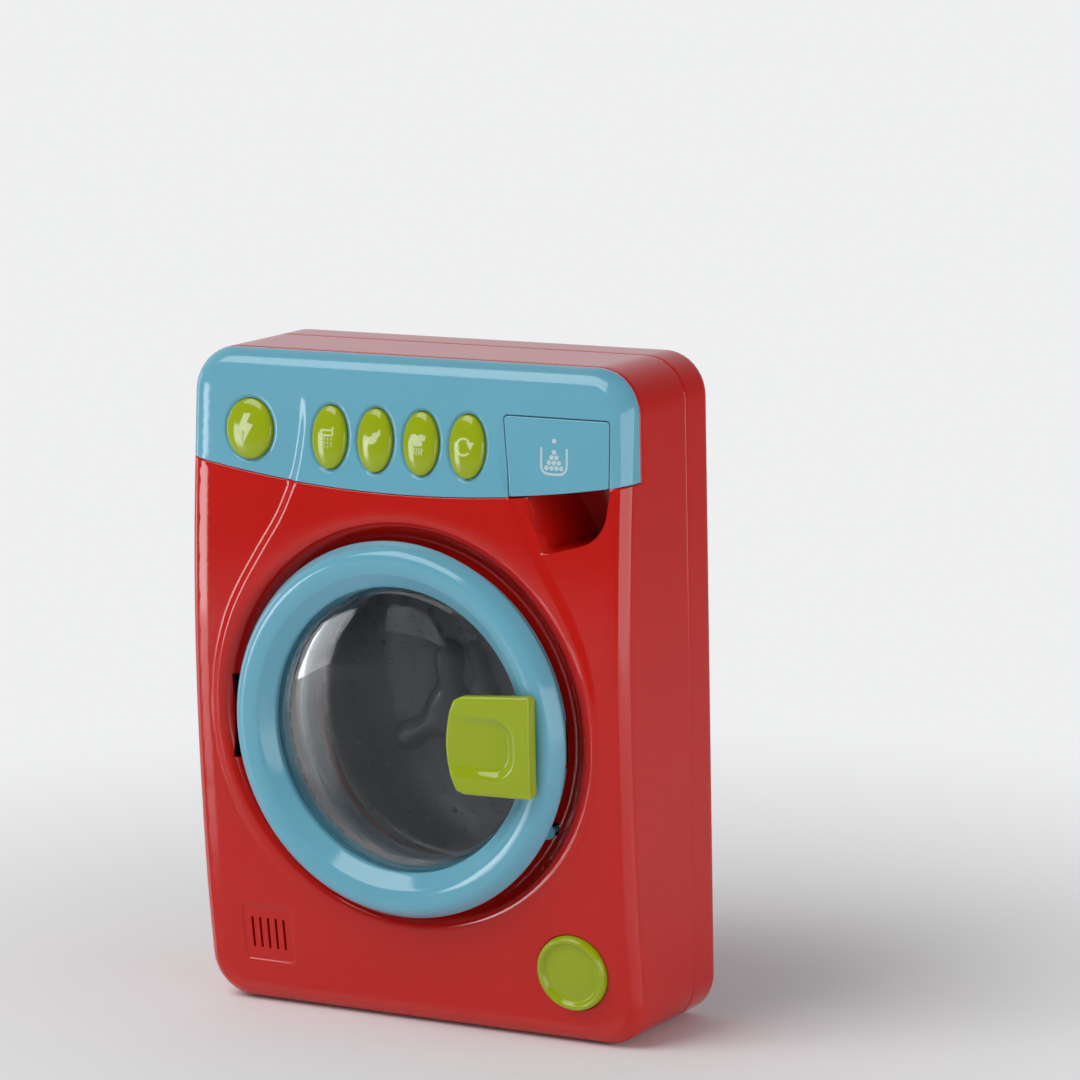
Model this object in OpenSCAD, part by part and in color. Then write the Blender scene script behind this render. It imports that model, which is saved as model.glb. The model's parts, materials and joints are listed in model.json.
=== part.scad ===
// Toy washing machine: child-size front loader with a turning drum, a swinging door,
// a sliding detergent drawer and press buttons.
// Millimetres. X to the viewer's right, Y to the back, Z up; origin under the middle of the base.

/* [Casing] */
// width across the side walls
W = 210; // [150:1:300]
// overall height
H = 280; // [200:1:400]
// depth from the front edge line to the back face
D = 66; // [50:1:120]
// how far the front bows forward at mid height
bow = 10; // [0:0.5:20]
// corner radius seen from the front
RC = 18; // [8:1:40]
// radius of the front edge
RF = 8; // [4:1:16]
// wall thickness
t = 2.2; // [1.6:0.1:4]
// depth of the front shell behind the edge line
seam = 46; // [30:1:60]
// depth of the styling step round the door
step = 1.2; // [0:0.1:3]

/* [Control panel] */
// lowest point of the panel's lower edge
panel_z = 224.4; // [200:0.1:250]
// rise of that edge at 100 mm from the middle
panel_rise = 8.8; // [0:0.1:20]
// how far the panel wraps on to the top and sides
wrap = 8; // [4:0.5:16]

/* [Door] */
// height of the drum axis
zd = 127; // [100:1:160]
// outer radius of the door ring
ring_r = 80; // [60:1:100]
// radius of the round window
window_r = 60; // [40:1:70]
// widest opening angle of the door in degrees
door_open = 90; // [60:1:90]

/* [Drum and drive] */
// radius of the hole the drum turns in
mouth_r = 70; // [60:1:75]
// gear module
gm = 1; // [0.8:0.1:1.2]
// teeth on the drum gear
n_drum = 80; // [60:1:90]
// teeth on the small wheel of the double gear
n_small = 12; // [10:1:20]
// teeth on the large wheel of the double gear
n_large = 64; // [40:1:70]
// teeth on the motor pinion
n_pinion = 10; // [8:1:16]

/* [Hidden] */
$fn = 64;
yE = -20;
yB = yE + D;
yS = yE + seam;
hinge = [-90.5, -21];
pivot = [69, -31];
d1 = gm * (n_drum + n_small) / 2;
d2 = gm * (n_large + n_pinion) / 2;
gdir = 135;
gear2 = [d1 * cos(gdir), zd + d1 * sin(gdir)];
gear3 = [(d1 + d2) * cos(gdir), zd + (d1 + d2) * sin(gdir)];
btn_z = 246;
btn_x = [-34.6, -12.6, 9.4, 31.4];
pow_x = -74.5;
pow_z = 247.2;
spk = [-72.5, 31];
cap = [76, 31];
red = [0.74, 0.13, 0.11];
blue = [0.43, 0.68, 0.78];
green = [0.62, 0.74, 0.13];
dark = [0.12, 0.13, 0.15];
steel = [0.75, 0.76, 0.78];
grey = [0.6, 0.6, 0.6];

// The bowed front: y of the surface and its lean at height z.
function yf(z) = yE - bow * (1 - pow((z - H / 2) / (H / 2), 2));
function lean(z) = atan(2 * bow * (z - H / 2) / pow(H / 2, 2));
function lim(v, a, b) = max(a, min(b, v));
// Depth of the styling step, which dies away towards the top and the bottom.
function dstep(z) = step * lim((264 - z) / 25, 0, 1) * lim((z - 36) / 40, 0, 1);
function rev(v) = [for (i = [len(v) - 1:-1:0]) v[i]];
function arc_z(x) = panel_z + panel_rise * pow(x / 100, 2);

// Rounded rectangle in X and Z, inset by i: the right side from the bottom up, then the left side down.
function half_out(i, n = 5, s = 11) = let (r = max(RC - i, 0.5), x = W / 2 - i - r, z0 = i + r, z1 = H - i - r)
  concat([for (k = [0:n]) [x + r * sin(90 * k / n), z0 - r * cos(90 * k / n)]],
    [for (k = [1:s]) [x + r, z0 + (z1 - z0) * k / (s + 1)]],
    [for (k = [0:n]) [x + r * cos(90 * k / n), z1 + r * sin(90 * k / n)]]);
function outline(i) = let (h = half_out(i)) concat(h, [for (p = rev(h)) [-p[0], p[1]]]);

// Solid with the outer shape of the casing, moved in by i all round and closed at the plane y1.
module form(i, y1, K = 4) {
  rf = max(RF - i, 1);
  rings = [for (k = [0:K]) let (a = 90 * k / K, o = outline(i + rf * (1 - sin(a))))
    [for (p = o) [p[0], yf(p[1]) + i + rf * (1 - cos(a)), p[1]]]];
  last = [for (p = outline(i)) [p[0], y1, p[1]]];
  all = concat(rings, [last]);
  n = len(last);
  m = n / 2;
  pts = [for (r = all) each r];
  R = len(all);
  front = [for (j = [0:m - 2]) [n - 1 - j, n - 2 - j, j + 1, j]];
  sides = [for (r = [0:R - 2], j = [0:n - 1]) let (a = r * n + j, b = r * n + (j + 1) % n)
    each [[a, b, b + n], [a, b + n, a + n]]];
  back = [[for (j = [n - 1:-1:0]) (R - 1) * n + j]];
  polyhedron(pts, concat(front, sides, [rev(back[0])]));
}

// 2D shape in X and Z pushed through from y0 to y1.
module along_y(y0, y1) translate([0, y1, 0]) rotate([90, 0, 0]) linear_extrude(y1 - y0) children();
// Round body about the drum axis from a profile of radius and y.
module turned() translate([0, 0, zd]) rotate([-90, 0, 0]) rotate_extrude($fn = 128) children();
module rod_y(x, z, r, y0, y1, f = 32) translate([x, y0, z]) rotate([-90, 0, 0]) cylinder(r = r, h = y1 - y0, $fn = f);
module rod_z(x, y, r, z0, z1, f = 32) translate([x, y, z0]) cylinder(r = r, h = z1 - z0, $fn = f);
module box(x0, x1, y0, y1, z0, z1) translate([x0, y0, z0]) cube([x1 - x0, y1 - y0, z1 - z0]);
// Local frame on the bowed front: -Y points straight out of the surface.
module on_front(x, z, d = 0) translate([x, yf(z) + d, z]) rotate([-lean(z), 0, 0]) children();

module above_arc(d = 0, xm = 110) polygon(concat([for (k = [0:22]) let (x = -xm + 2 * xm * k / 22)
  [x, arc_z(x) + d]], [[xm, 300], [-xm, 300]]));

// Everything in front of the stepped surface, used to sink the middle zone.
module step_slab() rotate([90, 0, 90]) linear_extrude(240, center = true)
  polygon(concat([[-60, 20]], [for (k = [0:30]) let (z = 20 + 250 * k / 30) [yf(z) + dstep(z), z]], [[-60, 270]]));
crease = [[48.5, 263], [48.4, 250], [50.0, 238], [52.6, 227], [59.1, 212.1], [68.2, 197.8], [77.2, 183.4],
  [83.7, 170.9], [88.1, 158.4], [90.8, 146], [92, 134]];
module step_zone() {
  low = [for (a = [0:10:90]) [92 * cos(a), zd - 92 * sin(a)]];
  h = concat(crease, low);
  polygon(concat(h, [for (p = rev(h)) [-p[0], p[1]]]));
}
module step_cut() intersection() { along_y(-60, 5) step_zone(); step_slab(); }

bowl = [[mouth_r, -17], [74, -17.5], [77, -18.6], [79.5, -20.2], [81.7, -22.4], [83.7, -25], [86, -27.6], [89.5, -30.6]];
bowl_back = [for (p = bowl) [p[0] + (p[0] > 73 ? 1.3 : 0), p[1] + 2.1]];

pocket = [[50.8, 230], [52.2, 227], [63.5, 204.2], [64.6, 203.6], [73.5, 206], [85.5, 209.3], [90, 211.6], [93.4, 215],
  [95.8, 219.7], [96.8, 226], [96.8, 236], [50.8, 236]];
// Finger pocket under the drawer: a ramp from its left edge down to a flat floor; g grows it for the wall.
module pocket_vol(g = 0) intersection() {
  along_y(-60, -13 + g) offset(delta = g) polygon(pocket);
  translate([51.6, 0, 228]) rotate([0, -27, 0]) linear_extrude(90, center = true)
    polygon([[-2 - g, -60], [70, -60], [70, -13 + g], [17 - g * 0.4, -13 + g], [-0.4 - g, -29.8 + g * 0.5], [-2 - g, -31]]);
}

module drawer_face(g = 0, low = 0.15) intersection() {
  polygon([[47.8 - g, 259.6 + g], [96.8 + g, 259.6 + g], [96.8 + g, 220], [51.9 - g, 220]]);
  above_arc(low);
}

bosses = [[-88, 268], [88, 268], [-96, 170], [96, 170], [-88, 12], [88, 12]];
panel_bolts = [[-72, 269], [66, 269], [-53, 234]];
tub_bolts = [for (a = [60, 120, 240, 300]) [78 * cos(a), zd + 78 * sin(a)]];

module front_shell() color(red) difference() {
  union() {
    difference() {
      form(0, yS - 0.15);
      form(t, yS + 1, 3);
      along_y(-60, yE + wrap + 0.2) above_arc(-0.1);
    }
    // lip the panel rests on, rooted in the wall
    intersection() {
      difference() { form(t, yE + 13, 3); form(t + 1.6, yE + 20, 3); }
      difference() {
        along_y(-60, yE + 12) above_arc(-4);
        along_y(-61, yE + 3) above_arc(3);
      }
    }
    intersection() {
      difference() { form(t - 0.7, yE + 13, 3); form(t + 1.5, yE + 20, 3); }
      difference() {
        along_y(-60, yE + 11.8) above_arc(-3.8);
        along_y(-61, yE + wrap + 0.5) above_arc(-0.4);
      }
    }
    // bowl round the door and wall of the finger pocket
    intersection() {
      form(0.02, 5, 2);
      union() {
        turned() polygon(concat([[mouth_r, -60], [91.2, -60], [91.2, -28.4]], rev(bowl_back)));
        difference() { pocket_vol(1.7); along_y(-61, -22.2) above_arc(-0.15); }
      }
    }
    // screw posts, hinge ears, speaker cup and screw tabs
    intersection() {
      form(1, yS - 0.2, 2);
      union() {
        for (b = bosses) rod_y(b[0], b[1], 4, b[1] > 200 ? -6.8 : -40, yS);
        for (x = [-88, 88]) box(x - 1.2, x + 1.2, -6.8, yS - 3.5, 268, 279);
        for (b = tub_bolts) rod_y(b[0], b[1], 3.4, -27, 4);
        for (z = [100.6, 145.4]) box(-95, -86.8, -30, -17, z, z + 4);
        for (x = [-72, 66]) box(x - 5, x + 5, -9, -7, 264, 279);
        box(-58, -48, -26, -12.4, 219, 222.5);
        difference() { rod_y(spk[0], spk[1], 19.6, -30, -17, 64); rod_y(spk[0], spk[1], 18, -31, -16, 64); }
        for (x = [-22.5, 22.5]) rod_y(spk[0] + x * 0.71, spk[1] + abs(x) * 0.71, 3, -30, -15);
        for (p = [[45, 216], [98.6, 216]]) rod_y(p[0], p[1], 3.2, -30, -11);
        box(75.8, 77.8, -27, -2.6, 84.4, 91.2);
      }
    }
    box(-58, -48, -14.4, -12.4, 219, 238.5);
  }
  step_cut();
  turned() polygon(concat([[0, -60], [89.6, -60], [89.6, -30.7]], rev(bowl), [[mouth_r, -10], [0, -10]]));
  pocket_vol(0);
  // way for the drawer
  along_y(-60, -13.1) drawer_face(0.6, -0.5);
  box(47.2, 97.4, -14, -10, 230.7, 262);
  // hinge slot and latch slot
  box(-84.6, -72, -40, -12, 107, 143);
  box(-89, -84.5, -25.7, -12, 107, 143);
  box(64, 79.1, -26, -12, 116.8, 136.2);
  // hole for the door switch peg
  rod_y(65.8, 89, 2.7, -40, 5);
  for (b = bosses) rod_y(b[0], b[1], 1.5, 8, yS + 1);
  for (b = tub_bolts) rod_y(b[0], b[1], 1.3, -10, 5);
  rod_z(hinge[0], hinge[1], 1.52, 99, 151);
  // sound slots
  for (k = [-2:2]) box(spk[0] + 3.9 * k - 0.6, spk[0] + 3.9 * k + 0.6, -40, -15, spk[1] - 6.8, spk[1] + 6.8);
  on_front(spk[0], spk[1]) translate([-12.6, -2, -12.6]) cube([25.2, 2.7, 25.2]);
  for (x = [-22.5, 22.5]) rod_y(spk[0] + x * 0.71, spk[1] + abs(x) * 0.71, 1.1, -21, -14);
  for (p = [[45, 216], [98.6, 216]]) rod_y(p[0], p[1], 1.1, -21, -10);
  // seat and hole for the round cap
  on_front(cap[0], cap[1]) { rod_y(0, 0, 16.4, -3, 1.2, 96); rod_y(0, 0, 13.2, -3, 8, 96); }
  for (b = panel_bolts) rod_y(b[0], b[1], 1.3, -16, -5);
}

module rear_form(i, y0, y1) {
  rf = 3;
  ks = [0:3];
  rings = concat([[for (p = outline(i)) [p[0], y0, p[1]]]],
    [for (k = ks) let (a = 90 * k / 3) [for (p = outline(i + rf * (1 - cos(a)))) [p[0], y1 - rf * (1 - sin(a)), p[1]]]]);
  n = len(rings[0]);
  R = len(rings);
  pts = [for (r = rings) each r];
  faces = concat([[for (j = [n - 1:-1:0]) j]],
    [for (r = [0:R - 2], j = [0:n - 1]) let (a = r * n + j, b = r * n + (j + 1) % n) each [[a, b, b + n], [a, b + n, a + n]]],
    [[for (j = [0:n - 1]) (R - 1) * n + j]]);
  polyhedron(pts, faces);
}

module rear_shell() color(red) difference() {
  union() {
    difference() { rear_form(0, yS + 0.15, yB); along_y(yS - 1, yB - t) polygon(outline(t)); }
    // tongue that locates in the front shell
    difference() {
      union() {
        along_y(yS - 3, yS + 3) polygon(outline(t + 0.25));
        along_y(yS + 0.15, yS + 3) polygon(outline(t - 0.5));
      }
      along_y(yS - 4, yS + 4) polygon(outline(t + 1.6));
      for (b = bosses) rod_y(b[0], b[1], 4.4, yS - 5, yS + 0.2);
    }
    for (b = bosses) rod_y(b[0], b[1], 4.4, yS + 0.15, yB - 1);
    // battery bay
    box(-34.6, 34.6, 26.4, yB - 1, 10.4, 67.6);
    box(-4.5, 4.5, 34, yB - 1, 66, 78);
  }
  box(-33, 33, 28, yB + 1, 12, 66);
  // ledge for the cover
  box(-35.6, 35.6, yB - 2, yB + 1, 9.4, 70.6);
  rod_y(0, 72, 1.2, 36, yB);
  box(-5, 5, yB - 2, yB + 1, 66, 76.6);
  box(-20, -12, yB - 4, yB - 1.9, 7.6, 14);
  box(12, 20, yB - 4, yB - 1.9, 7.6, 14);
  for (b = bosses) { rod_y(b[0], b[1], 1.9, yS - 1, yB + 1); rod_y(b[0], b[1], 3.6, yS + 9, yB + 1); }
  // wiring notch and ribs of shade for the bay's leads
  box(-36, -32, 30, 40, 34, 44);
}

module oval(a, b, f = 120) scale([a / b, 1]) circle(r = b, $fn = f);
// Flared oval, widening towards the front from y = 0.7.
module flare(a, b, n = 40) polyhedron(
  [for (k = [[0, 0.7], [4.4, -3.6]]) for (j = [0:n - 1]) [(a + k[0]) * cos(360 * j / n), k[1], (b + k[0]) * sin(360 * j / n)]],
  concat([[for (j = [0:n - 1]) j]], [[for (j = [n - 1:-1:0]) n + j]],
    [for (j = [0:n - 1]) let (q = (j + 1) % n) each [[j, q + n, q], [j, j + n, q + n]]]));
module panel_hole(x, z, a, b) on_front(x, z) {
  along_y(-4, 8) oval(a + 0.45, b + 0.45);
  flare(a + 0.4, b + 0.4);
}
board_bolts = [[-89, 239.4], [-54, 262], [42.5, 262], [42.5, 232.6]];
module control_panel() color(blue) difference() {
  union() {
    intersection() {
      difference() { form(0, yE + 12); form(t - 0.15, yE + 14, 3); }
      along_y(-60, yE + wrap) above_arc(0.1);
    }
    intersection() {
      form(1, 0, 2);
      union() {
        for (b = board_bolts) rod_y(b[0], b[1], 2.6, -26, -11);
        for (b = panel_bolts) rod_y(b[0], b[1], 2.8, -26, b[1] > 250 ? -9.1 : -14.5);
      }
    }
  }
  step_cut();
  for (x = btn_x) panel_hole(x, btn_z, 8.2, 13.1);
  panel_hole(pow_x, pow_z, 11.1, 12.6);
  along_y(-60, 0) drawer_face(0.45, -3);
  for (b = board_bolts) rod_y(b[0], b[1], 1, -20, -10);
  for (b = panel_bolts) rod_y(b[0], b[1], 1, b[1] > 250 ? -19 : -21.8, -8);
}

// Solid with oval sections; prof lists half height and y from the back to the front.
module oval_turn(q, prof, n = 36) {
  R = len(prof);
  polyhedron([for (p = prof) for (j = [0:n - 1]) [q * p[0] * cos(360 * j / n), p[1], p[0] * sin(360 * j / n)]],
    concat([[for (j = [0:n - 1]) j]], [[for (j = [n - 1:-1:0]) (R - 1) * n + j]],
      [for (r = [0:R - 2], j = [0:n - 1]) let (a = r * n + j, b = r * n + (j + 1) % n) each [[a, b + n, b], [a, a + n, b + n]]]));
}
// Oval push button: domed face, collar behind the panel, stem towards its dome.
module button(x, z, a, b, d) color(green) on_front(x, z, d) {
  oval_turn(a / b, [[b, 3.8], [b, 3.55 - d], [b + 0.9, 3.55 - d], [b + 0.9, 2.35 - d], [b, 2.35 - d], [b, -0.3], [b - 0.35, -0.95],
    [b * 0.86, -1.5], [b * 0.62, -2.2], [b * 0.34, -2.65], [b * 0.1, -2.8]]);
  rod_y(0, 0, 2.5, 3, 7.2);
}

module control_board() color([0.1, 0.4, 0.2]) difference() {
  union() {
    box(-93, 45.7, -10.9, -9.4, 230, 265);
    box(-24, -10, -9.4, -7.2, 236, 250);
    rod_y(6, 243, 3, -9.4, -3);
    rod_y(16, 243, 3, -9.4, -3);
    box(24, 32, -9.4, -2, 236, 256);
  }
  for (b = board_bolts) rod_y(b[0], b[1], 1.5, -14, -5);
}
// Rubber domes on the board, one under each button stem.
module dome_at(x, z, d) {
  n = yf(z) + d;
  intersection() {
    box(x - 8, x + 8, -22, -10.95, z - 12, z + 12);
    on_front(x, z, d) union() {
      rod_y(0, 0, 3.2, 8.8, 20);
      rod_y(0, 0, 4.6, 10.4, 20);
    }
  }
}
module key_domes() color([0.85, 0.85, 0.82]) {
  for (x = btn_x) dome_at(x, btn_z, 0.86);
  dome_at(pow_x, pow_z, 0);
}

module screw(x, z, y0, y1, r, rh, hh = 1.8) difference() {
  union() { rod_y(x, z, r, y0, y1 + 0.2, 24); rod_y(x, z, rh, y1, y1 + hh, 32); }
  for (a = [0, 90]) translate([x, y1 + hh, z]) rotate([0, a, 0]) cube([rh * 1.2, 1.6, 0.7], center = true);
}
module panel_screws() color(steel) for (b = panel_bolts)
  let (y = b[1] > 250 ? -6.95 : -12.35) screw(b[0], b[1], y - 9, y, 0.95, 2.3, 1.3);
module board_screws() color(steel) for (b = board_bolts) screw(b[0], b[1], -16, -9.35, 0.95, 2.4, 1.4);

// Detergent drawer: thick front with the shape of the casing, open tray behind it.
module detergent_drawer() color(blue) difference() {
  union() {
    intersection() { form(0, 0); along_y(-60, -14.4) drawer_face(); }
    box(53.6, 94.6, -15, 26, 233.4, 255.4);
  }
  box(55.2, 93, -12.4, 24.4, 235, 262);
  box(52, 96, -10, 27, 252, 262);
}
module drawer_housing() color(grey) difference() {
  union() {
    box(51.6, 96.6, -10.7, 30, 230.9, 259.4);
    box(46, 52, -10.7, -8.7, 212, 236);
    box(41, 52, -10.7, -8.7, 212, 220);
    box(96, 101, -10.7, -8.7, 212, 236);
  }
  box(53.2, 95, -12, 28.4, 232.6, 257.9);
  for (p = [[45, 216], [98.6, 216]]) rod_y(p[0], p[1], 1.4, -12, -7);
}
module housing_screws() color(steel) for (p = [[45, 216], [98.6, 216]]) screw(p[0], p[1], -17, -8.65, 1, 2.5, 1.4);

// Door.
module door_ring() color(blue) difference() {
  union() {
    turned() polygon([[60, -31.6], [60, -33], [60.6, -34.2], [62.2, -35.9], [64.4, -37.5], [66.9, -38.5], [69.6, -38.9], [72.4, -38.6],
        [75.1, -37.5], [77.4, -35.8], [79.1, -33.6], [79.8, -31.6], [80, -29.6], [80, -25], [77.6, -25], [77.6, -31],
        [76, -33.8], [73.2, -35.8], [69.6, -36.6], [67, -35.9], [65.2, -34.6], [65, -32.5], [65, -25], [62.8, -25], [62.8, -29.7],
        [60, -29.7]]);
    // walls of the handle's window
    intersection() {
      turned() polygon([[60.6, -34.2], [62.2, -35.9], [64.4, -37.5], [66.9, -38.5], [69.6, -38.9], [72.4, -38.6],
        [75.1, -37.5], [77.4, -35.8], [79.1, -33.6], [79, -25], [62.8, -25], [62.8, -29.7], [60.6, -29.7]]);
      union() { box(50, 80, -45, -25, 112.4, 115.2); box(50, 80, -45, -25, 137.8, 140.6); }
    }
    for (a = [45, 135, 225, 315]) rod_y(71.3 * cos(a), zd + 71.3 * sin(a), 3, -37, -25);
    for (z = [111, 139]) rod_y(-71.3, z, 3, -36.2, -25);
  }
  box(59, 70, -45, -24, 115.2, 137.8);
  box(59, 74.6, -34.4, -24, 115.2, 137.8);
  rod_z(pivot[0], pivot[1], 1.22, 112.9, 140.1);
  for (a = [45, 135, 225, 315]) rod_y(71.3 * cos(a), zd + 71.3 * sin(a), 1.1, -34, -24);
  for (z = [111, 139]) rod_y(-71.3, z, 1.1, -34, -24);
}
module door_lens() color([0.8, 0.9, 0.95, 0.35]) turned()
  polygon([[0, -35.6], [12, -35.5], [24, -35.2], [36, -34.6], [46, -33.8], [53, -32.8], [57.4, -31.6], [59.6, -29.9], [59.7, -29.5],
    [62.4, -29.5], [62.4, -28], [58.4, -28], [56.4, -30], [52.4, -31.2], [45.6, -32.3], [35.8, -33.1], [24, -33.7], [12, -34], [0, -34.1]]);
module door_retainer() color(blue) difference() {
  union() {
    turned() polygon([[58.8, -27.9], [62.4, -27.9], [62.4, -24.95], [79.5, -24.95], [79.5, -23.2], [58.8, -23.2]]);
    rod_y(65.8, 89, 1.9, -24, -15);
  }
  box(70.2, 80.5, -30, -20, 116.2, 136.8);
  for (a = [45, 135, 225, 315]) rod_y(71.3 * cos(a), zd + 71.3 * sin(a), 1.3, -30, -20);
  for (z = [111, 139]) rod_y(-71.3, z, 1.3, -30, -20);
  box(58, 70, -30, -24.9, 115, 138);
}
module arm_shape() polygon([[-90.5, -24], [-87.9, -22.2], [-86.4, -15.1], [-80.9, -13.9], [-77.9, -17.2], [-77.2, -23.1],
  [-68, -23.1], [-68, -20.9], [-74.4, -20.9], [-75.2, -16.4], [-79.4, -10.4], [-87.6, -11.2], [-93, -18]]);
module hinge_arms() color(dark) difference() {
  union() {
    for (z = [108, 136]) translate([0, 0, z]) linear_extrude(6) arm_shape();
    rod_z(hinge[0], hinge[1], 3.4, 105, 145);
  }
  rod_z(hinge[0], hinge[1], 1.56, 100, 150);
  for (z = [111, 139]) rod_y(-71.3, z, 1.3, -30, -10);
}
module hinge_pin() color(steel) rod_z(hinge[0], hinge[1], 1.5, 100.8, 149.2);
module door_screws() color(steel) {
  for (a = [45, 135, 225, 315]) screw(71.3 * cos(a), zd + 71.3 * sin(a), -33, -23.15, 1, 2.4, 1.3);
  for (z = [111, 139]) screw(-71.3, z, -33, -20.85, 1, 2.4, 1.3);
}
module handle_out(g = 0) offset(r = -g) offset(r = 3) offset(r = -3)
  polygon([[68.6, 106], [68.6, 147], [34.5, 146.4], [32.2, 142], [30.2, 136], [29, 130], [28.8, 126], [29.4, 120], [30.8, 113.5], [33, 106.6]]);
module door_handle() color(green) difference() {
  union() {
    hull() { along_y(-46, -45.8) handle_out(1.6); along_y(-44.4, -44.2) handle_out(0); }
    along_y(-44.3, -41.6) handle_out(0);
    box(61.4, 68.4, -42, -33, 117.2, 135.8);
    rod_z(pivot[0], pivot[1], 3.2, 117.2, 135.8);
    translate([0, 0, 117.2]) linear_extrude(18.6)
      polygon([[66.6, -33], [71.6, -32.6], [75.6, -25], [76.6, -18.6], [78.6, -17.3], [78, -16.2], [73.4, -16.2], [73, -24], [68, -29]]);
  }
  hull() {
    translate([27, -43.6, 0]) rod_y(0, 124, 9, 0, 0.1, 40);
    translate([49.5, -43.6, 0]) rod_y(0, 124, 9, 0, 0.1, 40);
    translate([27, -47, 0]) rod_y(0, 124, 13, 0, 0.1, 40);
    translate([47.5, -47, 0]) rod_y(0, 124, 13, 0, 0.1, 40);
  }
  rod_z(pivot[0], pivot[1], 1.26, 110, 142);
}
module handle_pin() color(steel) rod_z(pivot[0], pivot[1], 1.2, 113, 140);
// Leaf that presses the latch home; it sits in the ring's channel beside the lever.
module latch_spring() color(steel) translate([0, 0, 115.2]) linear_extrude(22.6)
  polygon([[65.4, -28.8], [65.4, -25.2], [65.8, -25.2], [65.8, -28.1], [68.8, -25.9], [69.1, -26.3], [65.8, -28.8]]);

// Drum and drive.
module drum() color(dark) difference() {
  union() {
    turned() polygon([[0, 11], [60, 11], [62.4, 8.6], [62.4, -11], [66, -13], [66, -15.6], [69.2, -15.6], [69.2, -10.6], [64.4, -8.8],
      [64.4, 9.4], [61, 13.2], [0, 13.2]]);
    // ribbed ring at the mouth
    along_y(-15.6, -10.6) translate([0, zd]) difference() { circle(r = 66.4, $fn = 96); circle(r = 62.6, $fn = 96); }
    along_y(-16.4, -15.4) translate([0, zd]) for (k = [0:59]) rotate(6 * k) translate([63.2, -1.1]) square([4.8, 2.2]);
    rod_y(0, zd, 8, 7.5, 12);
    // raised dots on the back disc
    for (k = [0:2]) for (j = [0:(22 + 6 * k) - 1]) rotate_about(360 * j / (22 + 6 * k)) rod_y(35 + 7.5 * k, 0, 1.3, 10.2, 11.5, 16);
  }
  rod_y(0, zd, 3, 6, 14);
}
module rotate_about(a) translate([0, 0, zd]) rotate([0, a, 0]) children();
// Three-armed paddle.
module agitator() color(dark) difference() {
  union() {
    for (a = [90, 210, 330]) rotate_about(-a) {
      hull() { rod_y(6, 0, 8, 10.9, 10.95, 40); rod_y(24, 0, 6.6, 10.9, 10.95, 40); rod_y(7, 0, 5.6, 3.5, 3.6, 40); rod_y(22.5, 0, 3.8, 3.5, 3.6, 40); }
    }
    rod_y(0, zd, 13, 7, 10.95, 64);
    rod_y(0, zd, 10, 3, 10.95, 64);
  }
  rod_y(0, zd, 8.15, 7.3, 12, 48);
  rod_y(0, zd, 3.1, 6.2, 12);
}
module drum_spindle() color(steel) rod_y(0, zd, 3, 6.4, 30.2);
module spindle_bush() color([0.85, 0.65, 0.3]) difference() {
  union() { rod_y(0, zd, 5.4, 13.8, 18); rod_y(0, zd, 8, 13.6, 14.45); }
  rod_y(0, zd, 3.05, 13, 19);
}
module gear2d(n, add = 0.75, ded = 1.15) {
  r = gm * n / 2;
  function pt(q, w, a) = [q * cos(a + w), q * sin(a + w)];
  w0 = 0.78 / r * 57.3;
  w1 = 0.60 / r * 57.3;
  w2 = 0.34 / r * 57.3;
  polygon([for (k = [0:n - 1]) let (a = 360 * k / n) each
    [pt(r - ded, -w0, a), pt(r, -w1, a), pt(r + add, -w2, a), pt(r + add, w2, a), pt(r, w1, a), pt(r - ded, w0, a)]]);
}
module drum_gear() color([0.9, 0.9, 0.86]) difference() {
  union() {
    along_y(18.6, 22.6) translate([0, zd]) rotate(gdir) gear2d(n_drum);
    rod_y(0, zd, 7, 18.4, 24.6);
  }
  rod_y(0, zd, 3, 17, 26);
  for (a = [0:60:300]) rotate_about(a) rod_y(22, 0, 7, 17, 25);
}
module double_gear() color([0.9, 0.9, 0.86]) difference() {
  union() {
    along_y(18.3, 23.4) translate(gear2) rotate(gdir + 180 + 180 / n_small) gear2d(n_small);
    along_y(23.3, 27.3) translate(gear2) rotate(gdir) gear2d(n_large);
  }
  rod_y(gear2[0], gear2[1], 1.56, 17, 29);
  for (a = [0:72:288]) rod_y(gear2[0] + 19 * cos(a), gear2[1] + 19 * sin(a), 6, 23.6, 28);
}
module double_gear_axle() color(steel) rod_y(gear2[0], gear2[1], 1.5, 13.8, 31);
module motor_pinion() color([0.85, 0.7, 0.35]) difference() {
  along_y(22.8, 27.6) translate(gear3) rotate(gdir + 180 + 180 / n_pinion) gear2d(n_pinion);
  rod_y(gear3[0], gear3[1], 1, 20, 29);
}
module motor_shaft() color(steel) rod_y(gear3[0], gear3[1], 1, 4, 28.2);
module motor() color(steel) translate([gear3[0], 0, gear3[1]]) rotate([0, -gdir, 0]) difference() {
  union() {
    intersection() { rod_y(0, 0, 10, -11, 14.2, 64); box(-7.6, 7.6, -12, 15, -12, 12); }
    rod_y(0, 0, 3, 14, 16.2);
    rod_y(0, 0, 3, -12.4, -10.8);
  }
  rod_y(0, 0, 1.08, 3, 18);
}
posts = [[22, 177], [-54, 104]];
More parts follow.
